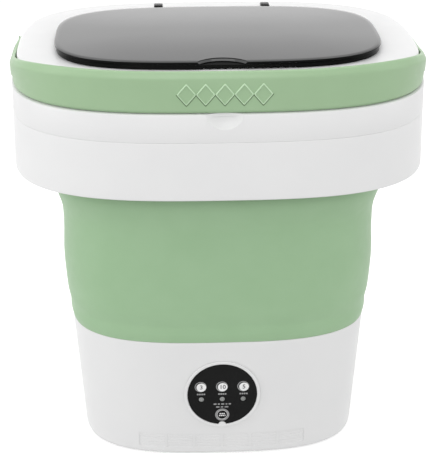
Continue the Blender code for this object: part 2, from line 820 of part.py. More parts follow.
def make_panel():
    place = panel_place()
    rim, seat = PANEL_RADIUS + GAP, 0.2 * MM
    outer = PANEL_RADIUS + BEZEL_WIDTH
    profile = [
        (PANEL_RADIUS - 1.4 * MM, -BEZEL_DEPTH),
        (PANEL_RADIUS + 1 * MM, -BEZEL_DEPTH),
        (PANEL_RADIUS + 1 * MM, GAP),
        (outer, GAP),
        (outer, 0.9 * MM),
        (outer - 0.8 * MM, 1.6 * MM),
        (rim, 1.4 * MM),
        (rim, seat - GAP),
        (PANEL_RADIUS - 1.4 * MM, seat - GAP),
    ]
    bezel = turned("panel_bezel", profile, closed=True, steps=32)
    add_object("panel_bezel", bezel, "white_plastic", **place)
    face = add_object(
        "panel_face",
        rod("panel_face", PANEL_RADIUS, seat, seat + PANEL_THICK, 34),
        "black_plastic",
        **place,
    )
    hole = rod("button_hole", BUTTON_RADIUS + GAP, -5 * MM, 5 * MM, 18)
    use_tool(face, hole, **around_panel(0, -BUTTON_DROP))
    for x, side in ((-LAMP_PITCH, "left"), (0, "middle"), (LAMP_PITCH, "right")):
        here = around_panel(x, -LAMP_DROP)
        use_tool(face, rod("lamp_hole", LAMP_RADIUS + GAP, -5 * MM, 5 * MM, 14), **here)
        lamp = rod(f"timer_lamp_{side}", LAMP_RADIUS, -6 * MM, seat + PANEL_THICK, 12)
        add_object(f"timer_lamp_{side}", lamp, "clear_lens", **here)
    top = seat + PANEL_THICK + 0.5 * MM
    profile = [
        (0, -3.1 * MM),
        (3 * MM, -3.1 * MM),
        (3 * MM, -1.8 * MM),
        (BUTTON_RADIUS + 1 * MM, -1.8 * MM),
        (BUTTON_RADIUS + 1 * MM, seat - GAP),
        (BUTTON_RADIUS, seat - GAP),
        (BUTTON_RADIUS, top - 0.4 * MM),
        (BUTTON_RADIUS - 0.5 * MM, top),
        (0, top),
    ]
    here = around_panel(0, -BUTTON_DROP)
    add_object("start_button", turned("start_button", profile, steps=16), "black_plastic", **here)
    switch_top = -3.1 * MM - BUTTON_TRAVEL - GAP
    board_top = -8 * MM
    board = rod("control_board", PANEL_RADIUS - 1.4 * MM - GAP, board_top - 1.6 * MM, board_top, 24)
    add_object("control_board", board, "board", **place)
    switch = block("button_switch", 6 * MM, 6 * MM, board_top + GAP, switch_top)
    add_object("button_switch", switch, "black_plastic", **here)


def lead(name, points, radius=1.3 * MM):
    """An insulated lead along a smooth curve through its points."""
    curve = bpy.data.curves.new(name, "CURVE")
    curve.dimensions = "3D"
    curve.bevel_depth = radius
    curve.bevel_resolution = 1
    curve.use_fill_caps = True
    smooth = []
    padded = [points[0]] + points + [points[-1]]
    steps = 5
    for i in range(1, len(padded) - 2):
        p0, p1, p2, p3 = (Vector(p) for p in padded[i - 1 : i + 3])
        for k in range(steps):
            t = k / steps
            smooth.append(
                0.5
                * (
                    2 * p1
                    + (p2 - p0) * t
                    + (2 * p0 - 5 * p1 + 4 * p2 - p3) * t**2
                    + (3 * p1 - p0 - 3 * p2 + p3) * t**3
                )
            )
    smooth.append(Vector(points[-1]))
    line = curve.splines.new("POLY")
    line.points.add(len(smooth) - 1)
    for point, place in zip(line.points, smooth):
        point.co = (*place, 1)
    made = bpy.data.objects.new(name, curve)
    bpy.context.scene.collection.objects.link(made)
    curve.materials.append(finish("wire"))


def make_leads():
    """The two leads inside the base, from the socket and from the motor to the control board."""
    socket = Vector(socket_place()) - Vector((0, 13 * MM + GAP, 0))
    board_left = panel_point(-14 * MM, -7 * MM, -9.6 * MM - GAP)
    board_right = panel_point(14 * MM, -7 * MM, -9.6 * MM - GAP)
    start, inward = Vector((0, 5 * MM, 0)), Vector((0, 16 * MM, 0))
    side = -(MOTOR_RADIUS + 35 * MM)
    route = [
        socket,
        socket - start,
        socket - inward,
        Vector((side - 2 * MM, 30 * MM, 22 * MM)),
        Vector((side - 2 * MM, 0, 22 * MM)),
        Vector((side + 12 * MM, -40 * MM, 42 * MM)),
        board_left + inward,
        board_left + start,
        board_left,
    ]
    lead("power_lead", route)
    motor = Vector((MOTOR_RADIUS + GAP + 0.6 * MM, gear_centres(), MOTOR_LOW + 8 * MM))
    route = [
        motor,
        motor + Vector((4 * MM, 0, 0)),
        Vector((32 * MM, 16 * MM, MOTOR_LOW + 10 * MM)),
        Vector((36 * MM, -10 * MM, 22 * MM)),
        Vector((24 * MM, -46 * MM, 42 * MM)),
        board_right + inward,
        board_right + start,
        board_right,
    ]
    lead("motor_lead", route)


# ---- Collar ----


def rim_half():
    """Half width of the wall behind the handle."""
    return COLLAR_HALF - RIM_INSET


def make_collar_skirt():
    low, top = COLLAR_LOW, SEAM_Z - GAP
    low_half = COLLAR_LOW_HALF
    rings = [
        ring(low_half - COLLAR_WALL + 0.6 * MM, low),
        ring(low_half - 1 * MM, low),
        ring(low_half, low + 1.5 * MM),
        ring(COLLAR_HALF, top),
        ring(COLLAR_HALF - COLLAR_WALL, top),
        ring(low_half - COLLAR_WALL, low + 1.5 * MM),
    ]
    add_object("collar_skirt", loft("collar_skirt", rings, True), "white_plastic")


def handle_low():
    return LEDGE_Z + 0.6 * MM


def pivot_z():
    return handle_low() + HANDLE_END_HEIGHT / 2


def handle_top(y):
    """Height of the handle's upper edge, which comes down from the front to the pivots."""
    share = min(1.0, max(0.0, (y + HANDLE_TAPER) / HANDLE_TAPER))
    fall = share * share * (3 - 2 * share)
    return handle_low() + HANDLE_HEIGHT - (HANDLE_HEIGHT - HANDLE_END_HEIGHT) * fall


def handle_stations(halves):
    """Rows of points along outlines of these half widths, from the left pivot round to the right one."""
    rows = []
    for i in range(HANDLE_STEPS + 1):
        angle = math.pi + math.pi * i / HANDLE_STEPS
        rows.append([outline_point(ring(half, 0.0), angle) for half in halves])
    arms = {}
    for side in (-1, 1):
        arms[side] = [
            [Vector((side * wall_x(half, y), y, 0)) for half in halves]
            for y in (PIVOT_Y / 3, PIVOT_Y * 2 / 3, PIVOT_Y)
        ]
    return arms[-1][::-1] + rows + arms[1]


def handle_ends(halves, radius, straight=False):
    """Rows of points round both ends, each with the share of the end's height left there.

    A straight end keeps the width it has at the pivot, so it clears the collar's wall as it turns.
    """
    found = {}
    for side in (-1, 1):
        found[side] = []
        for angle in (25, 48, 66, 80):
            back = radius * math.sin(math.radians(angle))
            y = PIVOT_Y + back
            width_at = PIVOT_Y if straight else y
            row = [Vector((side * wall_x(half, width_at), y, 0)) for half in halves]
            found[side].append((row, math.cos(math.radians(angle))))
    return found[-1][::-1], found[1]


def recess_sections():
    """The space taken from the collar for the handle: a ring round the front with rounded rear ends."""
    radius = HANDLE_END_HEIGHT / 2 + 0.6 * MM
    halves = (rim_half(), COLLAR_HALF + 14 * MM)
    top = DECK_Z + 25 * MM

    def section(row, low):
        inner, outer = row
        return [
            inner + Vector((0, 0, low)),
            outer + Vector((0, 0, low)),
            outer + Vector((0, 0, top)),
            inner + Vector((0, 0, top)),
        ]

    left, right = handle_ends(halves, radius)
    sections = [section(row, pivot_z() - radius * share) for row, share in left]
    sections += [section(row, LEDGE_Z) for row in handle_stations(halves)]
    return sections + [section(row, pivot_z() - radius * share) for row, share in right]


def hinge_y():
    return LID_MIDDLE_Y + LID_HALF_DEPTH + HINGE_BACK


def make_top_cover():
    """The moulded top of the collar: outer wall, recess for the handle, deck and lid opening."""
    under = DECK_Z - COLLAR_WALL
    inner = COLLAR_HALF - COLLAR_WALL
    behind = rim_half() - COLLAR_WALL

    def opening(z):
        return lid_ring(OPENING_INSET, z)

    rings = [
        ring(COLLAR_HALF, SEAM_Z),
        ring(COLLAR_HALF, DECK_Z - 2 * MM),
        ring(COLLAR_HALF - 0.6 * MM, DECK_Z - 0.6 * MM),
        ring(COLLAR_HALF - 2 * MM, DECK_Z),
        opening(DECK_Z),
        opening(under - 3 * MM),
        lid_ring(OPENING_INSET - COLLAR_WALL, under - 3 * MM),
        lid_ring(OPENING_INSET - COLLAR_WALL, under),
        ring(behind, under),
        ring(behind, LEDGE_Z - COLLAR_WALL),
        ring(inner, LEDGE_Z - COLLAR_WALL),
        ring(inner, SEAM_Z),
    ]
    cover = add_object("top_cover", loft("top_cover", rings, True), "white_plastic")
    use_tool(cover, swept("handle_recess", recess_sections()))
    for side in (-1, 1):
        pin_hole = rod("pivot_hole", PIVOT_RADIUS + RUN_GAP, -12 * MM, 12 * MM, 16)
        tool = use_tool(cover, pin_hole, location=(side * rim_half(), PIVOT_Y, pivot_z()))
        tool.rotation_euler = (0, math.pi / 2, 0)
        slot = block("ear_slot", EAR_WIDTH + 1 * MM, 15 * MM, -5.5 * MM, 12 * MM)
        use_tool(cover, slot, location=(side * HINGE_X, hinge_y() - 1.2 * MM, HINGE_Z - 1.5 * MM))
    scoop = bmesh.new()
    bmesh.ops.create_uvsphere(scoop, u_segments=20, v_segments=10, radius=1.0)
    bmesh.ops.scale(scoop, vec=(19 * MM, 6 * MM, 16 * MM), verts=scoop.verts)
    front = -(COLLAR_HALF - DEPTH_CUT)
    use_tool(cover, mesh_of("finger_scoop", scoop), location=(0, front - 4 * MM, LEDGE_Z + 0.4 * MM))


def flange_half():
    """Outer half width of the ring flanges inside the collar."""
    return COLLAR_HALF - COLLAR_WALL - 2 * GAP


def make_liner():
    """The inner wall of the collar, and the ring that clamps the bellows under its flange."""
    low, top = LINER_LOW, DECK_Z - COLLAR_WALL - GAP
    wall = 2 * MM
    top_half = rim_half() - COLLAR_WALL - 2 * MM
    rings = [
        ring(LINER_HALF, low),
        ring(flange_half(), low),
        ring(flange_half(), low + FLANGE_THICK),
        ring(LINER_HALF + wall + 2 * MM, low + FLANGE_THICK),
        ring(top_half, top),
        ring(top_half - wall, top),
        ring(LINER_HALF + 1 * MM, low + FLANGE_THICK),
    ]
    add_object("collar_liner", loft("collar_liner", rings, True), "white_plastic")
    inner = bellows_neck_half() + GAP
    clamp_top = low - 2 * GAP - BELLOWS_WALL
    rings = [
        ring(inner, clamp_top - 3 * MM),
        ring(flange_half(), clamp_top - 3 * MM),
        ring(flange_half(), clamp_top),
        ring(inner, clamp_top),
    ]
    add_object("bellows_clamp", loft("bellows_clamp", rings, True), "white_plastic")


# ---- Bellows ----


def bellows_neck_half():
    """Outer half width of the bellows where it meets its upper flange."""
    return LINER_HALF + BELLOWS_WALL + 1.5 * MM


def bellows_profile():
    """Outer (half width, height) points from the base up to the upper flange.

    Each fold is (share of the height, distance out from the base's edge); the last stretch,
    hidden by the collar, widens to the neck.
    """
    low = BASE_TOP + GAP
    neck = LINER_LOW - 2 * GAP - BELLOWS_WALL - 3.4 * MM
    reach = bellows_neck_half() - BASE_TOP_HALF
    folds = [
        (0.0, 0.0),
        (0.04, 1.1 * MM),
        (0.1, 0.6 * MM),
        (0.17, 4.2 * MM),
        (0.31, 6 * MM),
        (0.48, 4.6 * MM),
        (0.56, 5.6 * MM),
        (0.633, 8.8 * MM),
        (0.687, 10.8 * MM),
        (0.76, 12.4 * MM),
        (0.86, 0.68 * reach),
        (0.94, 0.9 * reach),
        (1.0, reach),
    ]
    return [(BASE_TOP_HALF + out, low + (neck - low) * share) for share, out in folds]


def make_bellows():
    outer = bellows_profile()
    inner = []
    for i, (half, z) in enumerate(outer):
        before, after = outer[max(0, i - 1)], outer[min(len(outer) - 1, i + 1)]
        along = Vector((after[0] - before[0], after[1] - before[1])).normalized()
        inner.append((half - BELLOWS_WALL * along.y, z + BELLOWS_WALL * along.x))
    base_line = outer[0][1]
    inner[0] = (BASE_TOP_HALF - BELLOWS_WALL - 1 * MM, base_line)
    top = LINER_LOW - GAP
    rim = flange_half() - 2 * MM
    flange = [
        (bellows_neck_half(), top - BELLOWS_WALL),
        (rim, top - BELLOWS_WALL),
        (rim, top),
        (LINER_HALF + 1 * MM, top),
    ]
    bead_outer = shell_inner_half(bead_low()) - GAP
    bead_inner = tub_rim_half() + GAP
    bead = [
        (bead_inner, base_line),
        (bead_inner, bead_low()),
        (bead_outer, bead_low()),
        (bead_outer, base_line),
    ]
    rings = [ring(half, z) for half, z in outer + flange + inner[:0:-1] + bead]
    add_object("bellows", loft("bellows", rings, True), "green_silicone")


# ---- Handle ----


def handle_edges():
    """The handle's cross section: (half width, height above its lower edge or below its upper one)."""
    inner = rim_half() + HANDLE_PLAY
    outer = inner + HANDLE_THICK
    lean = HANDLE_LEAN
    from_low = [
        (inner, 0.8 * MM),
        (inner + 0.8 * MM, 0.0),
        (outer - lean - 0.9 * MM, 0.0),
        (outer - lean, 0.9 * MM),
    ]
    from_top = [
        (outer, 5 * MM),
        (outer - 0.3 * MM, 1.8 * MM),
        (outer - 1.6 * MM, 0.0),
        (inner + 1 * MM, 0.0),
        (inner, 1 * MM),
    ]
    return from_low, from_top


def make_handle():
    from_low, from_top = handle_edges()
    halves = [half for half, _ in from_low + from_top]
    low, middle = handle_low(), pivot_z()

    def section(row, share=1.0):
        top = handle_top(row[0].y)
        heights = [low + rise for _, rise in from_low] + [top - fall for _, fall in from_top]
        return [
            point + Vector((0, 0, middle + (z - middle) * share))
            for point, z in zip(row, heights)
        ]

    left, right = handle_ends(halves, HANDLE_END_HEIGHT / 2, straight=True)
    sections = [section(row, share) for row, share in left]
    sections += [section(row) for row in handle_stations(halves)]
    sections += [section(row, share) for row, share in right]
    mesh = swept("carry_handle", sections)
    mesh.transform(Matrix.Translation((0, -PIVOT_Y, -middle)))
    handle = add_object("carry_handle", mesh, "green_plastic", location=(0, PIVOT_Y, middle))
    outer = rim_half() + HANDLE_PLAY + HANDLE_THICK
    add_diamonds(handle, outer)
    for side, name in ((-1, "left"), (1, "right")):
        hole = rod("handle_hole", PIVOT_RADIUS + RUN_GAP, -20 * MM, 20 * MM, 16)
        tool = use_tool(handle, hole, location=(side * outer, PIVOT_Y, middle))
        tool.rotation_euler = (0, math.pi / 2, 0)
        start = rim_half() - COLLAR_WALL - 1.2 * MM
        head = wall_x(outer, PIVOT_Y) + GAP + 0.3 * MM
        profile = [
            (0, start),
            (PIVOT_RADIUS, start),
            (PIVOT_RADIUS, head),
            (PIVOT_RADIUS + 2.6 * MM, head),
            (PIVOT_RADIUS + 2.2 * MM, head + 0.6 * MM),
            (PIVOT_RADIUS, head + 1 * MM),
            (0, head + 1 * MM),
        ]
        pin = turned(f"pivot_pin_{name}", profile, steps=16)
        made = add_object(f"pivot_pin_{name}", pin, "green_plastic", location=(0, PIVOT_Y, middle))
        made.rotation_euler = (0, side * math.pi / 2, 0)


def add_diamonds(handle, outer):
    """Raised diamonds across the middle of the handle's front face."""
    middle = handle_low() + HANDLE_HEIGHT / 2 - 1.2 * MM
    lean = HANDLE_LEAN / HANDLE_HEIGHT
    wide, high = DIAMOND_HALF, DIAMOND_HALF_HEIGHT
    for i in range(DIAMONDS):
        x = (i - (DIAMONDS - 1) / 2) * DIAMOND_PITCH
        out = wall_y(outer - HANDLE_LEAN / 2, x)
        back, front = [], []
        for cx, cz in ((-wide, 0), (0, -high), (wide, 0), (0, high)):
            y = -(out + cz * lean)
            back.append(Vector((x + cx, y + 1.5 * MM, middle + cz)))
            front.append(Vector((x + cx * 0.9, y - DIAMOND_RISE, middle + cz * 0.9)))
        use_tool(handle, swept(f"diamond_{i}", [back, front]), "UNION")


# ---- Lid ----


def make_lid():
    top, low = LID_TOP, LID_TOP - LID_THICK
    rings = [
        lid_ring(0.8 * MM, low),
        lid_ring(0, low + 0.8 * MM),
        lid_ring(0, top - 0.9 * MM),
        lid_ring(1 * MM, top),
        lid_ring(LID_HALF * 0.35, top + LID_CROWN * 0.7),
        lid_ring(LID_HALF * 0.6, top + LID_CROWN),
    ]
    panel = add_object("lid_panel", loft("lid_panel", rings, False), "smoked_lid")
    radius = (NOTCH_CHORD**2 / 4 + NOTCH_DEPTH**2) / (2 * NOTCH_DEPTH)
    front = LID_MIDDLE_Y - LID_HALF_DEPTH
    notch = rod("lid_notch", radius, low - 5 * MM, top + 5 * MM, 36)
    use_tool(panel, notch, location=(0, front + NOTCH_DEPTH - radius, 0))

    skirt_top, skirt_low = low - GAP, DECK_Z + GAP
    inset, width = LID_SKIRT_INSET, LID_SKIRT_WIDTH
    rings = [
        lid_ring(inset, skirt_top),
        lid_ring(inset + LID_FLANGE_WIDTH, skirt_top),
        lid_ring(inset + LID_FLANGE_WIDTH, skirt_top - LID_FLANGE_THICK),
        lid_ring(inset + width, skirt_top - LID_FLANGE_THICK),
        lid_ring(inset + width, skirt_low),
        lid_ring(inset + 0.6 * MM, skirt_low),
        lid_ring(inset, skirt_low + 0.6 * MM),
    ]
    frame = add_object("lid_frame", loft("lid_frame", rings, True), "black_plastic")
    pin_y = hinge_y()
    reach = HINGE_BACK + inset + 1.5 * MM
    for side in (-1, 1):
        arm = block("ear_arm", EAR_WIDTH, reach, -1.6 * MM, skirt_top - HINGE_Z - 0.05 * MM)
        place = (side * HINGE_X, pin_y - reach / 2, HINGE_Z)
        use_tool(frame, arm, "UNION", location=place)
        barrel = rod("ear_barrel", 2.6 * MM, -EAR_WIDTH / 2, EAR_WIDTH / 2, 14)
        tool = use_tool(frame, barrel, "UNION", location=(side * HINGE_X, pin_y, HINGE_Z))
        tool.rotation_euler = (0, math.pi / 2, 0)
        bore = rod("ear_bore", HINGE_PIN_RADIUS + RUN_GAP, -10 * MM, 10 * MM, 12)
        tool = use_tool(frame, bore, location=(side * HINGE_X, pin_y, HINGE_Z))
        tool.rotation_euler = (0, math.pi / 2, 0)
        name = "left" if side < 0 else "right"
        pin_half = EAR_WIDTH / 2 + 0.3 * MM
        pin = rod(f"hinge_pin_{name}", HINGE_PIN_RADIUS, -pin_half, pin_half, 12)
        place = (side * HINGE_X, pin_y, HINGE_Z)
        made = add_object(f"hinge_pin_{name}", pin, "steel", location=place)
        made.rotation_euler = (0, math.pi / 2, 0)


def main():
    for old in list(bpy.data.objects):
        bpy.data.objects.remove(old)
    make_base_shell()
    make_bottom_plate()
    make_tub()
    make_bearings()
    make_pulsator()
    make_gears()
    make_motor()
    make_gearbox()
    make_drain()
    make_power_socket()
    make_panel()
    make_leads()
    make_bellows()
    make_collar_skirt()
    make_top_cover()
    make_liner()
    make_handle()
    make_lid()


main()
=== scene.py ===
# Folding portable washer: the finished surfaces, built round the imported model
import math
import bmesh
import bpy
from mathutils import Matrix, Vector


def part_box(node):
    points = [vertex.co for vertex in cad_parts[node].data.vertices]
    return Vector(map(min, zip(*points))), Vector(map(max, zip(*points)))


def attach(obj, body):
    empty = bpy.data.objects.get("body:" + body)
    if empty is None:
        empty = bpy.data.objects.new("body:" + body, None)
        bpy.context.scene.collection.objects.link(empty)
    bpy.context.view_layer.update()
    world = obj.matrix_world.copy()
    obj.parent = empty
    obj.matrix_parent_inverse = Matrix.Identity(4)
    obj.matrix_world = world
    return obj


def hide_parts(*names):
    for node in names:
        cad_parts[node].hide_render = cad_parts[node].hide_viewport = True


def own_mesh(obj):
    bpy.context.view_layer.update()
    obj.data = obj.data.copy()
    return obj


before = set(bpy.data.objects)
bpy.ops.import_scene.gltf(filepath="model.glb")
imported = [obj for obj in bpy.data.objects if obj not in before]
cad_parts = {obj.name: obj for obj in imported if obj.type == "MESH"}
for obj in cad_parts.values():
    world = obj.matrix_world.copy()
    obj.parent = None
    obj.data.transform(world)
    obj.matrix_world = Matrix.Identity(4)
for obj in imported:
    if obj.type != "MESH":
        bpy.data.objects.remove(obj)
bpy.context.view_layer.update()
mm = 0.001
print("frame loaded,", len(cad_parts), "parts")

# Camera first, then the soft light tent
cameraSettings = dict(
    lens=119.2, sensor=36, azimuth=-2.58, elevation=21.39, roll=-0.12,
    distance=1.3559, target=(-0.0004, 0, 0.1827),
)
lightSettings = dict(
    horizon=0.90, zenith=0.50, below=0.68, rearGlow=0.72,
    # where the tent fades, as (from, to) along its unit sphere
    skyBand=(0.1, 0.5), rearBand=(0.3, 0.95), rearTop=(0.14, 0.34), belowBand=(-0.12, 0.02),
    floorColour=(0.93, 0.93, 0.93), floorGlow=0.30, floorRough=0.9, floorShine=0.1, floorSize=9.0,
    lamps={
        "topSoftbox": dict(place=(0, 0.1, 2.3), aim=(0, 0, 0.3), size=(2.4, 2.4), power=23),
        "frontSoftbox": dict(place=(-0.4, -2.5, 1.7), aim=(0, 0, 0.15), size=(1.6, 1.0), power=20),
        "leftSoftbox": dict(place=(-2.1, -0.5, 1.1), aim=(0, 0, 0.2), size=(1.2, 1.8), power=13),
        "rightSoftbox": dict(place=(2.1, -0.4, 1.0), aim=(0, 0, 0.2), size=(1.2, 1.8), power=8),
    },
)


def makeCamera():
    look = cameraSettings
    turn, lift = math.radians(look["azimuth"]), math.radians(look["elevation"])
    target = Vector(look["target"])
    level = math.cos(lift)
    outward = Vector((math.sin(turn) * level, -math.cos(turn) * level, math.sin(lift)))
    camera = bpy.data.objects.new("productCamera", bpy.data.cameras.new("productCamera"))
    bpy.context.scene.collection.objects.link(camera)
    camera.location = target + look["distance"] * outward
    facing = (-outward).to_track_quat("-Z", "Y")
    roll = Matrix.Rotation(math.radians(look["roll"]), 3, "Z").to_quaternion()
    camera.rotation_euler = (facing @ roll).to_euler()
    camera.data.lens = look["lens"]
    camera.data.sensor_width = look["sensor"]
    bpy.context.scene.camera = camera


def makeLights():
    tent = lightSettings
    world = bpy.data.worlds.new("lightTent")
    world.use_nodes = True
    bpy.context.scene.world = world
    nodes, links = world.node_tree.nodes, world.node_tree.links
    where = nodes.new("ShaderNodeTexCoord")
    split = nodes.new("ShaderNodeSeparateXYZ")
    links.new(where.outputs["Generated"], split.inputs[0])

    def ramp(output, band, low, high):
        found = nodes.new("ShaderNodeMapRange")
        for socket, value in zip(("From Min", "From Max", "To Min", "To Max"), (*band, low, high)):
            found.inputs[socket].default_value = value
        links.new(split.outputs[output], found.inputs["Value"])
        return found.outputs["Result"]

    def combine(operation, first, second):
        found = nodes.new("ShaderNodeMath")
        found.operation = operation
        links.new(first, found.inputs[0])
        links.new(second, found.inputs[1])
        return found.outputs[0]

    sky = ramp("Z", tent["skyBand"], tent["horizon"], tent["zenith"])
    rear = ramp("Y", tent["rearBand"], 0, tent["rearGlow"])
    glow = combine("MULTIPLY", rear, ramp("Z", tent["rearTop"], 1, 0))
    dimmer = ramp("Z", tent["belowBand"], tent["horizon"] - tent["below"], 0)
    strength = combine("SUBTRACT", combine("ADD", sky, glow), dimmer)
    links.new(strength, nodes["Background"].inputs["Strength"])
    nodes["Background"].inputs["Color"].default_value = (1, 1, 1, 1)
    for name, lamp in tent["lamps"].items():
        light = bpy.data.lights.new(name, "AREA")
        light.shape = "RECTANGLE"
        light.size, light.size_y = lamp["size"]
        light.energy = lamp["power"]
        made = bpy.data.objects.new(name, light)
        bpy.context.scene.collection.objects.link(made)
        made.location = lamp["place"]
        aim = Vector(lamp["aim"]) - made.location
        made.rotation_euler = aim.to_track_quat("-Z", "Y").to_euler()


def makeFloor():
    look = lightSettings
    half = look["floorSize"] / 2
    corners = [(-half, -half, 0), (half, -half, 0), (half, half, 0), (-half, half, 0)]
    mesh = bpy.data.meshes.new("studioFloor")
    mesh.from_pydata(corners, [], [(0, 1, 2, 3)])
    floor = bpy.data.objects.new("studioFloor", mesh)
    bpy.context.scene.collection.objects.link(floor)
    paper = bpy.data.materials.new("floorPaper")
    paper.use_nodes = True
    shader = paper.node_tree.nodes["Principled BSDF"]
    shader.inputs["Base Color"].default_value = (*look["floorColour"], 1)
    shader.inputs["Roughness"].default_value = look["floorRough"]
    shader.inputs["Specular IOR Level"].default_value = look["floorShine"]
    shader.inputs["Emission Color"].default_value = (1, 1, 1, 1)
    shader.inputs["Emission Strength"].default_value = look["floorGlow"]
    mesh.materials.append(paper)
    floor.visible_diffuse = False  # the light from below comes from the tent, not from the paper


makeCamera()
makeLights()
makeFloor()
bpy.context.scene.view_settings.view_transform = "Standard"
print("camera, lights and floor in place")


def mix(low, high, rough, grain, wave, **more):
    return dict(tones=(low, high), rough=rough, grain=grain, wave=wave, **more)


# Each finish: two close tones, then the roughness band, the fine grain and the slow waviness,
# the last two as (scale, strength)
finishSettings = {
    "whiteShell": mix((0.778, 0.778, 0.780), (0.792, 0.792, 0.792), (0.32, 0.40), (1400, 0.10), (9, 0.05)),
    "whiteInner": mix((0.72, 0.73, 0.73), (0.765, 0.765, 0.76), (0.42, 0.55), (900, 0.16), (11, 0.06)),
    "handleGreen": mix(
        (0.322, 0.474, 0.283), (0.332, 0.486, 0.293), (0.34, 0.44), (1500, 0.12), (14, 0.03)
    ),
    # painted highlight: a lighter, glossier green for the light caught on the diamonds' raised rims
    "handlePaintedHighlight": mix((0.50, 0.68, 0.46), (0.54, 0.72, 0.50), (0.26, 0.34), (1500, 0.08), (14, 0.03)),
    # painted shadow: a dark green for the shade in the crease under the diamonds' lower edges
    "handlePaintedShadow": mix((0.11, 0.18, 0.09), (0.14, 0.22, 0.12), (0.50, 0.60), (1500, 0.20), (14, 0.03)),
    "bellowsGreen": mix(
        (0.316, 0.488, 0.288), (0.330, 0.503, 0.302), (0.46, 0.58), (1100, 0.22), (16, 0.04), sheen=0.08
    ),
    "lidSmoke": mix(
        (0.064, 0.064, 0.064), (0.072, 0.072, 0.073), (0.08, 0.13), (700, 0.02), (7, 0.02), ior=1.52
    ),
    "frameBlack": mix(
        (0.0035, 0.0035, 0.0035), (0.006, 0.006, 0.006), (0.20, 0.30), (1300, 0.08), (12, 0.03), specular=0.08
    ),
    "panelBlack": mix(
        (0.0045, 0.0045, 0.0045), (0.006, 0.006, 0.006), (0.20, 0.28), (1600, 0.04), (10, 0.02), specular=0.12
    ),
    "printWhite": mix((0.80, 0.80, 0.80), (0.88, 0.88, 0.88), (0.40, 0.50), (2500, 0.05), (30, 0.02)),
    "printGrey": mix((0.28, 0.28, 0.28), (0.36, 0.36, 0.36), (0.40, 0.50), (2500, 0.05), (30, 0.02)),
    "printInk": mix((0.05, 0.05, 0.05), (0.08, 0.08, 0.08), (0.45, 0.55), (2500, 0.05), (30, 0.02)),
    "lampLens": mix((0.24, 0.25, 0.24), (0.36, 0.37, 0.36), (0.16, 0.24), (1800, 0.10), (40, 0.05)),
    "footRubber": mix((0.018, 0.018, 0.018), (0.035, 0.035, 0.035), (0.72, 0.88), (1200, 0.45), (60, 0.10)),
    "plugRubber": mix((0.022, 0.022, 0.022), (0.036, 0.036, 0.036), (0.55, 0.70), (1300, 0.30), (60, 0.10)),
    "brightSteel": mix(
        (0.56, 0.56, 0.57), (0.64, 0.64, 0.65), (0.20, 0.34), (1800, 0.15), (50, 0.05), metal=1.0
    ),
    "motorSteel": mix(
        (0.40, 0.41, 0.43), (0.50, 0.51, 0.52), (0.30, 0.45), (1500, 0.20), (30, 0.05), metal=1.0
    ),
    "gearNylon": mix((0.72, 0.71, 0.64), (0.79, 0.78, 0.71), (0.45, 0.58), (1300, 0.20), (20, 0.06)),
    "boardGreen": mix((0.015, 0.11, 0.045), (0.03, 0.18, 0.08), (0.35, 0.50), (1500, 0.15), (60, 0.10)),
    "leadRed": mix((0.26, 0.02, 0.02), (0.34, 0.03, 0.03), (0.50, 0.62), (1700, 0.12), (40, 0.05)),
}
noiseSettings = dict(
    driftScale=2.2, driftEdges=(0.35, 0.65), smearScale=9, smearEdges=(0.3, 0.7),
    waveDepth=2 * mm, grainDepth=0.2 * mm,
)
finishes = {}


def makeFinish(name, look):
    made = bpy.data.materials.new(name)
    made.use_nodes = True
    nodes, links = made.node_tree.nodes, made.node_tree.links
    shader = nodes["Principled BSDF"]
    where = nodes.new("ShaderNodeTexCoord")

    def noise(scale, detail):
        found = nodes.new("ShaderNodeTexNoise")
        found.inputs["Scale"].default_value = scale
        found.inputs["Detail"].default_value = detail
        links.new(where.outputs["Object"], found.inputs["Vector"])
        return found

    cloud = noise(look["wave"][0] * noiseSettings["driftScale"], 3)  # slow drift between the two tones
    tone = nodes.new("ShaderNodeValToRGB")
    for k in (0, 1):
        tone.color_ramp.elements[k].position = noiseSettings["driftEdges"][k]
        tone.color_ramp.elements[k].color = (*look["tones"][k], 1)
    links.new(cloud.outputs["Fac"], tone.inputs["Fac"])
    links.new(tone.outputs["Color"], shader.inputs["Base Color"])
    smear = noise(look["wave"][0] * noiseSettings["smearScale"], 4)
    band = nodes.new("ShaderNodeMapRange")
    limits = (*noiseSettings["smearEdges"], *look["rough"])
    for socket, value in zip(("From Min", "From Max", "To Min", "To Max"), limits):
        band.inputs[socket].default_value = value
    links.new(smear.outputs["Fac"], band.inputs["Value"])
    links.new(band.outputs["Result"], shader.inputs["Roughness"])
    slow = nodes.new("ShaderNodeBump")
    slow.inputs["Distance"].default_value = noiseSettings["waveDepth"]
    slow.inputs["Strength"].default_value = look["wave"][1]
    links.new(noise(look["wave"][0], 2).outputs["Fac"], slow.inputs["Height"])
    fine = nodes.new("ShaderNodeBump")
    fine.inputs["Distance"].default_value = noiseSettings["grainDepth"]
    fine.inputs["Strength"].default_value = look["grain"][1]
    links.new(noise(look["grain"][0], 2).outputs["Fac"], fine.inputs["Height"])
    links.new(slow.outputs["Normal"], fine.inputs["Normal"])
    links.new(fine.outputs["Normal"], shader.inputs["Normal"])
    shader.inputs["Metallic"].default_value = look.get("metal", 0.0)
    shader.inputs["IOR"].default_value = look.get("ior", 1.46)
    shader.inputs["Specular IOR Level"].default_value = look.get("specular", 0.5)
    shader.inputs["Sheen Weight"].default_value = look.get("sheen", 0.0)
    return made


for finishName, finishLook in finishSettings.items():
    finishes[finishName] = makeFinish(finishName, finishLook)
print("finishes mixed:", len(finishes))

# The outline that the base, bellows and collar share: a squircle, 32 mm less deep than it is wide
outline = dict(power=3.0, depthCut=32 * mm, columns=216, fineSteps=4000)
seatGap = 0.3 * mm  # what pieces that meet keep between them
coverLow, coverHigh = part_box("top_cover")
skirtLow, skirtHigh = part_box("collar_skirt")
baseLow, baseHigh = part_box("base_shell")
bellowsLow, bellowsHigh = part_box("bellows")
collarHalf = coverHigh.x
deckZ = coverHigh.z
seamZ = coverLow.z


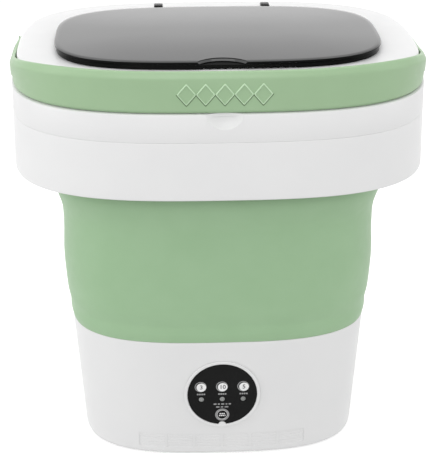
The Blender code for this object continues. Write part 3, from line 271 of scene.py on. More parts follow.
def bodyRing(half, z):
    return (half, half - outline["depthCut"], outline["power"], 0.0, z)


def ringPoint(ring, angle):
    a, b, power, midY, z = ring
    c, s = math.cos(angle), math.sin(angle)
    share = 2 / power
    x = a * math.copysign(abs(c) ** share, c)
    return Vector((x, midY + b * math.copysign(abs(s) ** share, s), z))


def evenAngles(ring, count, first=0.0, last=2 * math.pi):
    # angles whose points lie evenly along the outline
    steps = outline["fineSteps"]
    fine = [first + (last - first) * i / steps for i in range(steps + 1)]
    points = [ringPoint(ring, angle) for angle in fine]
    run = [0.0]
    for before, after in zip(points, points[1:]):
        run.append(run[-1] + (after - before).length)
    found, k = [], 0
    for i in range(count):
        goal = run[-1] * i / count
        while run[k + 1] < goal:
            k += 1
        part = (goal - run[k]) / (run[k + 1] - run[k])
        found.append(fine[k] + (fine[k + 1] - fine[k]) * part)
    return found


bodyAngles = evenAngles(bodyRing(collarHalf, 0), outline["columns"])


def outlineAt(along, across, place):
    # how far the outline reaches one way where it is at this place the other way
    power = outline["power"]
    return along * (1 - min(1, abs(place) / across) ** power) ** (1 / power)


def frontY(half, x):
    return -outlineAt(half - outline["depthCut"], half, x)


def sideX(half, y):
    return outlineAt(half, half - outline["depthCut"], y)


def softCorners(corners, bend=5, closed=True):
    # each corner is (distance, height, size of its rounding)
    found = []
    count = len(corners)
    for i, (h, z, size) in enumerate(corners):
        here = Vector((h, z))
        if size == 0 or (not closed and i in (0, count - 1)):
            found.append(here)
            continue
        before = Vector(corners[i - 1][:2]) - here
        after = Vector(corners[(i + 1) % count][:2]) - here
        start = here + before.normalized() * min(size, 0.48 * before.length)
        end = here + after.normalized() * min(size, 0.48 * after.length)
        for k in range(bend + 1):
            t = k / bend
            found.append(start * (1 - t) ** 2 + here * 2 * t * (1 - t) + end * t * t)
    return found


def splitLong(points, longest, closed=True):
    # extra points on the long straight stretches
    found = []
    for i, here in enumerate(points):
        found.append(here)
        if i == len(points) - 1 and not closed:
            break
        following = points[(i + 1) % len(points)]
        steps = int((following - here).length / longest)
        found += [here.lerp(following, k / (steps + 1)) for k in range(1, steps + 1)]
    return found


def gridMesh(name, rows, wrapRows=False):
    # quads between successive closed rows of points; a row of one point closes to a tip
    shape = bmesh.new()
    made = [[shape.verts.new(point) for point in row] for row in rows]
    pairs = list(zip(made, made[1:] + made[:1]))
    if not wrapRows:
        pairs = pairs[:-1]
    for low, high in pairs:
        count = max(len(low), len(high))
        for i in range(count):
            j = (i + 1) % count
            face = [low[i % len(low)], low[j % len(low)], high[j % len(high)], high[i % len(high)]]
            shape.faces.new(list(dict.fromkeys(face)))
    if not wrapRows:
        for row in (made[0], made[-1]):
            if len(row) > 2:
                shape.faces.new(row)
    bmesh.ops.recalc_face_normals(shape, faces=shape.faces)
    mesh = bpy.data.meshes.new(name)
    shape.to_mesh(mesh)
    shape.free()
    return mesh


def addPiece(name, mesh, finish, body, stands=(), sharp=32):
    piece = bpy.data.objects.new(name, mesh)
    bpy.context.scene.collection.objects.link(piece)
    mesh.materials.append(finishes[finish])
    mesh.shade_smooth()
    mesh.set_sharp_from_angle(angle=math.radians(sharp))
    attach(piece, body)
    if stands:
        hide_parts(*stands)
    return piece


def carve(mesh, cutters, operation="DIFFERENCE"):
    # cuts the cutter meshes from a mesh, or joins them on
    target = bpy.data.objects.new("carved", mesh)
    bpy.context.scene.collection.objects.link(target)
    tools = []
    for cutter in cutters:
        tool = bpy.data.objects.new("cutter", cutter)
        bpy.context.scene.collection.objects.link(tool)
        modifier = target.modifiers.new("cut", "BOOLEAN")
        modifier.operation = operation
        modifier.object = tool
        tools.append(tool)
    settled = target.evaluated_get(bpy.context.evaluated_depsgraph_get())
    shaped = bpy.data.meshes.new_from_object(settled)
    for used in [target] + tools:
        bpy.data.objects.remove(used)
    return shaped


def bodyRows(points):
    return [[ringPoint(bodyRing(p.x, p.y), angle) for angle in bodyAngles] for p in points]


def lathe(name, corners, steps=96, closed=True, longest=1.0):
    # turned about Z; an open profile starts and ends on the axis
    points = splitLong(softCorners(corners, closed=closed), longest, closed)
    rows = []
    for p in points:
        if p.x < 1e-7:
            rows.append([Vector((0, 0, p.y))])
        else:
            turns = [2 * math.pi * i / steps for i in range(steps)]
            rows.append([Vector((p.x * math.cos(t), p.x * math.sin(t), p.y)) for t in turns])
    return gridMesh(name, rows, wrapRows=closed)


def placed(mesh, matrix):
    mesh.transform(matrix)
    return mesh


def pointsAt(*pairs):
    return [Vector(pair) for pair in pairs]


# Base: tapered shell with a rounded foot, and louvred recesses low on its front
baseSettings = dict(
    footHalf=123 * mm, footZ=5.8 * mm, wall=2.5 * mm, lip=4.7 * mm, footRound=4.6 * mm,
    cells=6, pitch=24.8 * mm, rib=2 * mm, low=8 * mm, high=22 * mm, depth=0.5 * mm,
    slats=4, slatHigh=1.7 * mm, slatOut=0.25 * mm, slatEnd=0.6 * mm, slatBack=0.4 * mm,
    cutIn=25 * mm, cutOut=12 * mm, panelPlay=1.3 * mm,
    # openings at the back for the power socket and the drain elbow, as (across, height, radius)
    rearHoles=((-35 * mm, 28 * mm, 5.8 * mm), (58 * mm, 30 * mm, 7.9 * mm)),
)


def baseHalf(z):
    base = baseSettings
    rise = (baseHigh.x - base["footHalf"]) / (baseHigh.z - base["footZ"])
    return base["footHalf"] + rise * (z - base["footZ"])


def wallStrip(left, right, low, high, inner, outer, steps=8):
    # a block that follows the front wall between two depths
    rows = []
    for i in range(steps + 1):
        x = left + (right - left) * i / steps
        row = []
        for z, deep in ((low, inner), (low, outer), (high, outer), (high, inner)):
            row.append(Vector((x, frontY(baseHalf(z) - deep, x), z)))
        rows.append(row)
    return gridMesh("strip", rows)


panelSettings = dict(
    z=62.9 * mm, radius=30.3 * mm, bezel=3 * mm, rise=0.2 * mm, thick=1 * mm,
    dialUp=7.9 * mm, dialPitch=18.6 * mm, dialRadius=4.5 * mm, numeral=5.6 * mm,
    lampDrop=4.8 * mm, lampPitch=18.3 * mm, lampRadius=2.2 * mm,
    mark=1.5 * mm, markPitch=1.9 * mm, markDrop=7.2 * mm,
    buttonDrop=20.3 * mm, buttonRadius=6.3 * mm, tabRadius=3.4 * mm, tabDrop=31.7 * mm,
)
panelLean = math.atan2(baseHigh.x - baseSettings["footHalf"], baseHigh.z - baseSettings["footZ"])
panelY = -(baseHalf(panelSettings["z"]) - outline["depthCut"])
panelFrame = Matrix.Translation((0, panelY, panelSettings["z"]))
panelFrame = panelFrame @ Matrix.Rotation(math.pi / 2 + panelLean, 4, "X")


def onPanel(x, up, out=0.0):
    return panelFrame @ Matrix.Translation((x, up, out))


def rearFrame(x, z):
    wall = Matrix.Translation((x, -frontY(baseHalf(z), x), z))
    return wall @ Matrix.Rotation(-math.pi / 2, 4, "X")


def rod(radius, low, high, steps=64):
    corners = [(0, low, 0), (radius, low, 0), (radius, high, 0), (0, high, 0)]
    return lathe("rod", corners, steps, False, 50 * mm)


def makeBase():
    base = baseSettings
    low, top = baseLow.z, baseHigh.z
    corners = [
        (base["footHalf"] - base["lip"], low, 0.3 * mm),
        (baseHalf(low), low, base["footRound"]),
        (baseHigh.x, top, 0.8 * mm),
        (baseHigh.x - base["wall"], top, 0.6 * mm),
        (base["footHalf"] - base["wall"], low + 5.4 * mm, 0.6 * mm),
    ]
    mesh = gridMesh("baseShell", bodyRows(splitLong(softCorners(corners), 6 * mm)), wrapRows=True)
    opening = rod(panelSettings["radius"] + base["panelPlay"], -base["cutIn"], base["cutOut"], 96)
    cutters = [placed(opening, panelFrame)]
    for x, z, radius in base["rearHoles"]:
        cutters.append(placed(rod(radius, -base["cutIn"], base["cutOut"]), rearFrame(x, z)))
    first = -base["cells"] / 2 * base["pitch"]
    gap = (base["high"] - base["low"]) / (base["slats"] + 1)
    half, deep = base["slatHigh"] / 2, base["depth"]
    for cell in range(base["cells"]):
        left = first + cell * base["pitch"] + base["rib"] / 2
        right = left + base["pitch"] - base["rib"]
        cutters.append(wallStrip(left, right, base["low"], base["high"], deep, -6 * mm))
        ends = (left + base["slatEnd"], right - base["slatEnd"])
        for k in range(base["slats"]):
            z = base["low"] + gap * (k + 1)
            slat = wallStrip(*ends, z - half, z + half, deep + base["slatBack"], deep - base["slatOut"])
            addPiece(f"ventSlat_{cell}_{k}", slat, "whiteShell", "base", sharp=20)
    addPiece("baseShell", carve(mesh, cutters), "whiteShell", "base", ["base_shell"])


makeBase()
print("base shell and vents done")


# Control panel: white bezel, black face, three dials with lamps, and the start button
printSettings = dict(
    glyphLift=0.04 * mm, glyphBold=0.06 * mm, barLift=0.05 * mm, barRound=0.3,
    slots=dict(printWhite="white_plastic", printInk="black_plastic", printGrey="clear_lens"),
    # rows of bars in millimetres: (height, widths) on the face, (height, how many) on the button
    faceRows=((-9.6, (2.6, 1.8, 2.8, 1.6, 2.0)), (-12.6, (3.0, 2.2, 3.4))), faceSpace=1.1,
    buttonRows=((0.9, 3), (-1.0, 4)), buttonPitch=1.7,
)


def glyphMesh(text, size):
    curve = bpy.data.curves.new("numeral", "FONT")
    curve.body = text
    curve.size = size
    curve.align_x = "CENTER"
    curve.align_y = "CENTER"
    curve.extrude = printSettings["glyphLift"]
    curve.offset = printSettings["glyphBold"]
    made = bpy.data.objects.new("numeral", curve)
    bpy.context.scene.collection.objects.link(made)
    settled = made.evaluated_get(bpy.context.evaluated_depsgraph_get())
    mesh = bpy.data.meshes.new_from_object(settled)
    bpy.data.objects.remove(made)
    return mesh


def printedBar(width, height):
    rows = []
    r = height * printSettings["barRound"]
    for z in (0, printSettings["barLift"]):
        rows.append([])
        for sx, sy in ((-1, -1), (1, -1), (1, 1), (-1, 1)):
            x, y = sx * (width / 2 - r), sy * (height / 2 - r)
            for k in range(4):
                turn = math.atan2(sy, sx) + (k / 3 - 0.5) * math.pi / 2
                rows[-1].append(Vector((x + r * math.cos(turn), y + r * math.sin(turn), z)))
    return gridMesh("bar", rows)


def washer(inner, outer, low, high):
    corners = [(inner, low, 0), (outer, low, 0), (outer, high, 0.02 * mm), (inner, high, 0.02 * mm)]
    return lathe("washer", corners, 64, True, 5 * mm)


def addPrint(name, mesh, finish, body="base"):
    addPiece(name, mesh, finish, body)


def joinMeshes(name, meshes):
    shape = bmesh.new()
    for mesh in meshes:
        shape.from_mesh(mesh)
    bmesh.ops.recalc_face_normals(shape, faces=shape.faces)
    joined = bpy.data.meshes.new(name)
    shape.to_mesh(joined)
    shape.free()
    return joined


def panelHole(radius, x, up):
    return placed(rod(radius + seatGap, -5 * mm, 5 * mm), Matrix.Translation((x, up, 0)))


def makePanel():
    panel = panelSettings
    radius, outer, seat = panel["radius"], panel["radius"] + panel["bezel"], panel["rise"]
    top = seat + panel["thick"]
    tabUp = -panel["tabDrop"] + 0.6 * mm
    bezel = lathe("bezel", [
        (radius - 1.4 * mm, -12 * mm, 0.2 * mm),
        (radius + 1 * mm, -12 * mm, 0.2 * mm),
        (radius + 1 * mm, seatGap, 0),
        (outer, seatGap, 0.2 * mm),
        (outer, 1.6 * mm, 0.9 * mm),
        (radius + seatGap, 1.4 * mm, 0.5 * mm),
        (radius + seatGap, seat - seatGap, 0),
        (radius - 1.4 * mm, seat - seatGap, 0.2 * mm),
    ], 160)
    tab = placed(rod(panel["tabRadius"], 0.35 * mm, 1.45 * mm), Matrix.Translation((0, tabUp, 0)))
    bezel = placed(carve(bezel, [tab], "UNION"), panelFrame)
    addPiece("panelBezel", bezel, "whiteShell", "base", ["panel_bezel"])
    corners = [(0, seat, 0), (radius, seat, 0.2 * mm), (radius, top, 0.3 * mm), (0, top, 0)]
    face = lathe("face", corners, 160, False, 4 * mm)
    lampPlaces = [(side * panel["lampPitch"], -panel["lampDrop"]) for side in (-1, 0, 1)]
    holes = [panelHole(panel["tabRadius"], 0, tabUp)]
    holes.append(panelHole(panel["buttonRadius"], 0, -panel["buttonDrop"]))
    holes += [panelHole(panel["lampRadius"], x, up) for x, up in lampPlaces]
    face = placed(carve(face, holes), panelFrame)
    addPiece("panelFace", face, "panelBlack", "base", ["panel_face"])
    r = panel["lampRadius"]
    for (x, up), side in zip(lampPlaces, ("left", "middle", "right")):
        lens = lathe("lens", [
            (0, -6 * mm, 0),
            (r, -6 * mm, 0),
            (r, top - 0.3 * mm, 0.2 * mm),
            (r * 0.6, top, 0.5 * mm),
            (0, top, 0),
        ], 48, False)
        lens = placed(lens, onPanel(x, up))
        addPiece(f"timerLamp_{side}", lens, "lampLens", "base", [f"timer_lamp_{side}"])
        spot = placed(washer(r * 0.42, r * 0.55, top, top + 0.02 * mm), onPanel(x, up))
        addPrint(f"timerLampRing_{side}", spot, "printInk")
    makeDials(top + 0.01 * mm)
    makeButton(top)


def makeDials(faceTop):
    panel, r = panelSettings, panelSettings["dialRadius"]
    for x, text in ((-panel["dialPitch"], "3"), (0, "10"), (panel["dialPitch"], "5")):
        # the disc and its number stand a little off the grey ring, like a drawn shadow
        spot = (x + 0.3 * mm, panel["dialUp"] - 0.25 * mm)
        disc = rod(r * 0.93, faceTop, faceTop + 0.06 * mm)
        addPrint(f"dialDisc_{text}", placed(disc, onPanel(*spot)), "printWhite")
        halo = washer(r * 0.98, r * 1.13, faceTop, faceTop + 0.03 * mm)
        halo = placed(halo, onPanel(x - 0.35 * mm, panel["dialUp"] + 0.3 * mm))
        addPrint(f"dialHalo_{text}", halo, "printGrey")
        numeral = placed(glyphMesh(text, panel["numeral"]), onPanel(*spot, faceTop + 0.1 * mm))
        addPrint(f"dialNumber_{text}", numeral, "printInk")
        marks = []
        for k in (-1.5, -0.5, 0.5, 1.5):
            place = onPanel(x + k * panel["markPitch"], panel["dialUp"] - panel["markDrop"], faceTop)
            marks.append(placed(printedBar(panel["mark"], panel["mark"]), place))
        addPrint(f"dialMarks_{text}", joinMeshes("marks", marks), "printGrey")
    lines, space = [], printSettings["faceSpace"]
    for up, widths in printSettings["faceRows"]:
        x = -(sum(widths) + space * (len(widths) - 1)) / 2
        for width in widths:
            place = onPanel((x + width / 2) * mm, up * mm, faceTop)
            lines.append(placed(printedBar(width * mm, 1.3 * mm), place))
            x += width + space
    addPrint("panelLines", joinMeshes("lines", lines), "printGrey")


def makeButton(top):
    panel, r = panelSettings, panelSettings["buttonRadius"]
    seat, high = panel["rise"] - seatGap, top + 0.5 * mm
    cap = lathe("cap", [
        (0, -3.1 * mm, 0),
        (3 * mm, -3.1 * mm, 0.2 * mm),
        (3 * mm, -1.8 * mm, 0),
        (r + 1 * mm, -1.8 * mm, 0.2 * mm),
        (r + 1 * mm, seat, 0.2 * mm),
        (r, seat, 0),
        (r, high, 0.5 * mm),
        (r * 0.72, high - 0.1 * mm, 0.3 * mm),
        (0, high - 0.25 * mm, 0),
    ], 96, False)
    place, body = onPanel(0, -panel["buttonDrop"]), "start_button"
    addPiece("startButton", placed(cap, place), "panelBlack", body, [body])
    ring = washer(r * 0.80, r * 0.985, high - 0.3 * mm, high + 0.02 * mm)
    addPrint("startRing", placed(ring, place), "printGrey", body)
    inner = washer(r * 0.69, r * 0.75, high - 0.3 * mm, high - 0.02 * mm)
    addPrint("startInnerRing", placed(inner, place), "printWhite", body)
    marks = []
    for up, count in printSettings["buttonRows"]:
        for k in range(count):
            x = (k - (count - 1) / 2) * printSettings["buttonPitch"]
            spot = place @ Matrix.Translation((x * mm, up * mm, high - 0.2 * mm))
            marks.append(placed(printedBar(1.3 * mm, 1.2 * mm), spot))
    addPrint("startMarks", joinMeshes("marks", marks), "printWhite", body)


makePanel()
print("control panel done")

# Bellows: the fold line in steps of (share of the height, distance out in mm), then a smooth curve
bellowsSettings = dict(
    wall=2.4 * mm, neck=160.9 * mm, neckZ=299.4 * mm, liner=158 * mm, bead=2.4 * mm, beadPlay=0.7 * mm,
    folds=(
        (0, 0), (0.035, 1.3), (0.08, 1.6), (0.125, 3.2), (0.17, 4.2), (0.31, 5.8), (0.44, 5.1),
        (0.53, 5.4), (0.58, 6.6), (0.63, 9.4), (0.68, 12.6), (0.71, 13.4), (0.74, 12.6), (0.785, 9.6),
    ),
    # inside the collar, as (share of the height, share of the way to the neck)
    hidden=((0.83, 0.44), (0.88, 0.74), (0.94, 0.91), (1.0, 1.0)),
    keep=0.057,
)


def smoothLine(points, steps=6):
    padded = [points[0]] + list(points) + [points[-1]]
    found = []
    for i in range(1, len(padded) - 2):
        p0, p1, p2, p3 = padded[i - 1 : i + 3]
        for k in range(steps):
            t = k / steps
            square, cube = 2 * p0 - 5 * p1 + 4 * p2 - p3, 3 * p1 - p0 - 3 * p2 + p3
            found.append(0.5 * (2 * p1 + (p2 - p0) * t + square * t**2 + cube * t**3))
    return found + [points[-1]]


def makeBellows():
    look = bellowsSettings
    baseLine = baseHigh.z + seatGap
    rise = look["neckZ"] - baseLine
    reach = look["neck"] - baseHigh.x
    line = [Vector((baseHigh.x + out * mm, baseLine + rise * share)) for share, out in look["folds"]]
    for share, part in look["hidden"]:
        line.append(Vector((baseHigh.x + part * reach, baseLine + rise * share)))
    outer = smoothLine(line)
    inner = []
    for i, p in enumerate(outer):
        along = (outer[min(i + 1, len(outer) - 1)] - outer[max(i - 1, 0)]).normalized()
        inner.append(p + look["wall"] * Vector((-along.y, along.x)))
    inner[0].y = baseLine
    rim, top, under = bellowsHigh.x, bellowsHigh.z, bellowsHigh.z - look["wall"]
    flange = pointsAt((look["neck"], under), (rim, under), (rim, top), (look["liner"], top))
    beadLow, beadOut = bellowsLow.z, baseHigh.x - baseSettings["wall"] - look["beadPlay"]
    beadIn = beadOut - look["bead"]
    bead = pointsAt((beadIn, baseLine), (beadIn, beadLow), (beadOut, beadLow), (beadOut, baseLine))
    mesh = gridMesh("bellows", bodyRows(outer + flange + inner[:0:-1] + bead), wrapRows=True)
    piece = addPiece(
        "siliconeBellows", mesh, "bellowsGreen", "base", ["bellows"], sharp=50
    )
    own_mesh(piece)


makeBellows()
print("bellows done")

# Collar: skirt, top cover with the recess for the handle, and the liner inside
collarSettings = dict(
    wall=2.8 * mm, ledgeZ=332.2 * mm, inset=5.2 * mm, pivotY=54 * mm, pivotZ=341.8 * mm, endRadius=9.6 * mm,
    endRun=9 * mm, easeRun=72 * mm, edge=2.2 * mm, shoulder=6 * mm, lipDeep=3 * mm, seamGap=0.06 * mm,
    scoop=(17.3 * mm, 9 * mm, 15 * mm), scoopOut=4.5 * mm, bossWide=42 * mm, bossDeep=6 * mm,
    linerHalf=157 * mm, linerLow=306 * mm, flange=2.6 * mm,
    # extra columns round the recess ends: degrees of the round end, then shares of the run behind it
    endTurns=(0, 12, 24, 36, 48, 60, 70, 80, 90), runShares=(0.06, 0.15, 0.3, 0.5, 0.75, 1),
)
lidSettings = dict(
    half=138 * mm, halfDepth=97.5 * mm, power=3.3, midY=-4 * mm, thick=2.5 * mm, top=363.6 * mm,
    crown=1.2 * mm, crownEnd=0.62, sideSlope=0.55,
    opening=9 * mm, notchDepth=11 * mm, notchChord=40 * mm,
    skirtInset=1.2 * mm, skirtWide=3 * mm, flangeWide=14 * mm, flangeThick=1.5 * mm,
    earX=49 * mm, earWide=8.2 * mm, earRise=4.8 * mm, earBack=3.9 * mm,
    hingeY=102 * mm, hingeZ=359.2 * mm, knuckle=2.6 * mm, bore=1.5 * mm,
    ribPitch=6.1 * mm, ribFrom=-16 * mm, ribTo=60 * mm, ribRise=1.5 * mm,
)


def lidRing(inset, z):
    lid = lidSettings
    return (lid["half"] - inset, lid["halfDepth"] - inset, lid["power"], lid["midY"], z)


def lidRings(*pairs):
    return [lidRing(inset, z) for inset, z in pairs]


def ease(share):
    share = min(1, max(0, share))
    return share * share * (3 - 2 * share)


def quarter(out, across, down, count):
    # the rounded edge from the wall up to the deck, as (half width, height)
    turns = [math.pi / 2 * k / (count - 1) for k in range(count)]
    return pointsAt(*[(out - across * (1 - math.cos(t)), deckZ - down * (1 - math.sin(t))) for t in turns])


def recessAngles():
    # the even columns, with extra ones where the recess ends round the pivots
    collar = collarSettings
    rim = bodyRing(collarHalf - collar["inset"], 0)
    tip = collar["pivotY"] + collar["endRadius"]
    turns = [math.sin(math.radians(turn)) for turn in collar["endTurns"]]
    extra = [tip - collar["endRadius"] * (1 - turn) for turn in turns]
    extra += [tip + collar["endRun"] * share for share in collar["runShares"]]
    right = [math.asin((y / rim[1]) ** (rim[2] / 2)) for y in extra]
    spare = 0.6 * (right[-1] - right[-2])
    span = (right[0] - spare, right[-1] + spare)
    kept = [a for a in bodyAngles if not (span[0] < a < span[1] or span[0] < math.pi - a < span[1])]
    return sorted(kept + right + [math.pi - a for a in right])


def recessFloor(y):
    # level along the handle, a round end behind each pivot, then a rise into the collar's shoulder
    collar = collarSettings
    back = y - collar["pivotY"]
    if back <= 0:
        return collar["ledgeZ"]
    if back <= collar["endRadius"]:
        return collar["pivotZ"] - math.sqrt(collar["endRadius"] ** 2 - back * back)
    left = 1 - min(1, (back - collar["endRadius"]) / collar["endRun"])
    return collar["pivotZ"] + (deckZ - collar["shoulder"] - collar["pivotZ"]) * (1 - left * left)


def coverEdge(y):
    # the recess for the handle, which turns into a soft shoulder behind the pivots
    collar = collarSettings
    rim, floor = collarHalf - collar["inset"], recessFloor(y)
    behind = y - collar["pivotY"] - collar["endRadius"]
    recess = pointsAt(
        (collarHalf, floor - 1.3 * mm),
        (collarHalf - 0.38 * mm, floor - 0.38 * mm),
        (collarHalf - 1.3 * mm, floor),
        (rim + 0.9 * mm, floor),
        (rim + 0.3 * mm, floor + 0.25 * mm),
        (rim, floor + 0.9 * mm),
        (rim, (floor + deckZ) / 2),
    )
    recess += quarter(rim, 2.6 * mm, 2.6 * mm, 6)
    near = 1 - ease(behind / collar["easeRun"])
    across = collar["edge"] + (collar["inset"] + 0.4 * mm) * near
    down = collar["edge"] + (collar["shoulder"] - collar["edge"]) * near
    wall = [Vector((collarHalf, collar["ledgeZ"] + k * 6 * mm)) for k in range(3)]
    shoulder = wall + quarter(collarHalf, across, down, 10)
    share = ease(behind / collar["endRun"])
    return [a.lerp(b, share) for a, b in zip(recess, shoulder)]


def coverColumn(angle):
    # one section of the cover: up the outside, over the deck, down into the opening and back inside
    collar = collarSettings
    wall, rim, mouth = collar["wall"], collarHalf - collar["inset"], lidSettings["opening"]
    under, ledge = deckZ - wall, collar["ledgeZ"] - wall
    low = pointsAt(
        (collarHalf - 0.25 * mm, seamZ),
        (collarHalf - 0.06 * mm, seamZ + 0.07 * mm),
        (collarHalf, seamZ + 0.25 * mm),
        (collarHalf, seamZ + 10 * mm),
    )
    outer = coverEdge(ringPoint(bodyRing(rim, 0), angle).y)
    rings = [bodyRing(half, z) for half, z in low + outer]
    edge, lip = bodyRing(outer[-1][0], deckZ), lidRing(mouth - 0.8 * mm, deckZ)
    for share in (0.25, 0.5, 0.75):
        rings.append(tuple(a + (b - a) * share for a, b in zip(edge, lip)))
    rings += [lip] + lidRings(
        (mouth - 0.2 * mm, deckZ - 0.2 * mm),
        (mouth, deckZ - 0.8 * mm),
        (mouth, under - collar["lipDeep"] + 0.5 * mm),
        (mouth - 0.5 * mm, under - collar["lipDeep"]),
        (mouth - wall, under - collar["lipDeep"]),
        (mouth - wall, under),
    )
    for half, z in ((rim, under), (rim, ledge), (collarHalf, ledge), (collarHalf, seamZ)):
        rings.append(bodyRing(half - wall, z))
    return [ringPoint(ring, angle) for ring in rings]


def block(width, depth, low, high, place, soft=0.0):
    # a box from low to high at this place; soft rounds every edge but the bottom ones
    corners = ((-1, -1), (1, -1), (1, 1), (-1, 1))
    rows = [[Vector((sx * width / 2, sy * depth / 2, z)) for sx, sy in corners] for z in (low, high)]
    mesh = gridMesh("block", rows)
    if soft:
        shape = bmesh.new()
        shape.from_mesh(mesh)
        edges = [edge for edge in shape.edges if max(vert.co.z for vert in edge.verts) > low]
        bmesh.ops.bevel(shape, geom=edges, offset=soft, segments=4, profile=0.5, affect="EDGES")
        shape.to_mesh(mesh)
        shape.free()
    return placed(mesh, Matrix.Translation(place))


def makeCollar():
    collar, lid = collarSettings, lidSettings
    low, top = skirtLow.z, seamZ - collar["seamGap"]
    corners = [
        (skirtHigh.x - collar["wall"] + 0.3 * mm, low, 0.6 * mm),
        (skirtHigh.x + 0.02 * mm, low, 1.5 * mm),
        (collarHalf, top, 0.25 * mm),
        (collarHalf - collar["wall"], top, 0.3 * mm),
        (skirtHigh.x - collar["wall"], low + 1.5 * mm, 0.5 * mm),
    ]
    skirt = gridMesh("skirt", bodyRows(splitLong(softCorners(corners), 8 * mm)), wrapRows=True)
    addPiece("collarSkirt", skirt, "whiteShell", "collar", ["collar_skirt"])
    columns = [coverColumn(angle) for angle in recessAngles()]
    front = -(collarHalf - outline["depthCut"])
    bossMiddle = front + 1.6 * mm + collar["bossDeep"] / 2
    bossPlace = (0, bossMiddle, collar["ledgeZ"])
    boss = block(collar["bossWide"], collar["bossDeep"], -19 * mm, -2.9 * mm, bossPlace, 1 * mm)
    cover = carve(gridMesh("cover", columns, wrapRows=True), [boss], "UNION")
    scoop = bmesh.new()
    bmesh.ops.create_uvsphere(scoop, u_segments=72, v_segments=36, radius=1)
    bmesh.ops.scale(scoop, vec=collar["scoop"], verts=scoop.verts)
    dish = bpy.data.meshes.new("dish")
    scoop.to_mesh(dish)
    scoop.free()
    scoopPlace = (0, front - collar["scoopOut"], collar["ledgeZ"] + 0.4 * mm)
    cutters = [placed(dish, Matrix.Translation(scoopPlace))]
    for side in (-1, 1):
        slot = (side * lid["earX"], lid["hingeY"] - 1.2 * mm, lid["hingeZ"] - 1.5 * mm)
        cutters.append(block(lid["earWide"] + 1 * mm, 15 * mm, -5.5 * mm, 12 * mm, slot))
    addPiece("topCover", carve(cover, cutters), "whiteShell", "collar", ["top_cover"])
    lower, inside = collar["linerLow"], collar["linerHalf"]
    flange, flangeTop = collarHalf - collar["wall"] - 2 * seatGap, lower + collar["flange"]
    top = deckZ - collar["wall"] - seatGap
    topHalf = collarHalf - collar["inset"] - collar["wall"] - 2 * mm
    corners = [
        (inside, lower, 0.5 * mm),
        (flange, lower, 0.4 * mm),
        (flange, flangeTop, 0.4 * mm),
        (inside + 4 * mm, flangeTop, 1.5 * mm),
        (topHalf, top, 0.4 * mm),
        (topHalf - 2 * mm, top, 0.4 * mm),
        (inside + 1 * mm, flangeTop, 1 * mm),
    ]
    liner = gridMesh("liner", bodyRows(splitLong(softCorners(corners, 3), 8 * mm)), wrapRows=True)
    addPiece("collarLiner", liner, "whiteInner", "collar", ["collar_liner"])


makeCollar()
print("collar done")

# Carry handle: a band round the front with rounded ends, and five raised diamonds
handleSettings = dict(
    low=332.8 * mm, high=33.8 * mm, endHigh=18 * mm, taper=135 * mm, thick=5 * mm, play=1.2 * mm,
    lean=1.8 * mm, lowChamfer=2.2 * mm, topChamfer=5.4 * mm, armThin=0.36, pinBore=3.8 * mm,
    stations=150, armSteps=9, endSteps=14,
    diamonds=5, pitch=15 * mm, wide=7.8 * mm, tall=9.3 * mm, drop=1.2 * mm, sidePoints=12,
    # (share of the size, how far out): foot, crease, outer slope, raised rim, sunk middle
    diamondSteps=(
        (1.1, -1), (1.1, 0.03), (1.0, 0.05), (0.96, 0.6), (0.93, 0.78),
        (0.85, 0.78), (0.81, 0.55), (0.76, 0.2), (0.72, 0.12), (0.4, 0.1),
    ),
)


def handleTop(y):
    look = handleSettings
    share = ease((y + look["taper"]) / look["taper"])
    return look["low"] + look["high"] - (look["high"] - look["endHigh"]) * share


def handleSection():
    # (distance out, share of the height, millimetres up from there), round the band's cross section
    look, collar = handleSettings, collarSettings
    inner = collarHalf - collar["inset"] + look["play"]
    outer = inner + look["thick"]
    lean = look["lean"]
    corners = [
        (inner, 0, 0.8 * mm),
        (outer - lean - 1.7 * mm, 0.1 * mm, 0.5 * mm),
        (outer - lean, look["lowChamfer"], 0.9 * mm),
        (outer, look["high"] - look["topChamfer"], 1.6 * mm),
        (outer - 2.5 * mm, look["high"] - 0.3 * mm, 1.3 * mm),
        (inner, look["high"], 0.8 * mm),
    ]
    points = splitLong(softCorners(corners, 6), 4 * mm)
    middle = look["high"] / 2
    return [(p.x, 0 if p.y < middle else 1, p.y if p.y < middle else p.y - look["high"]) for p in points]


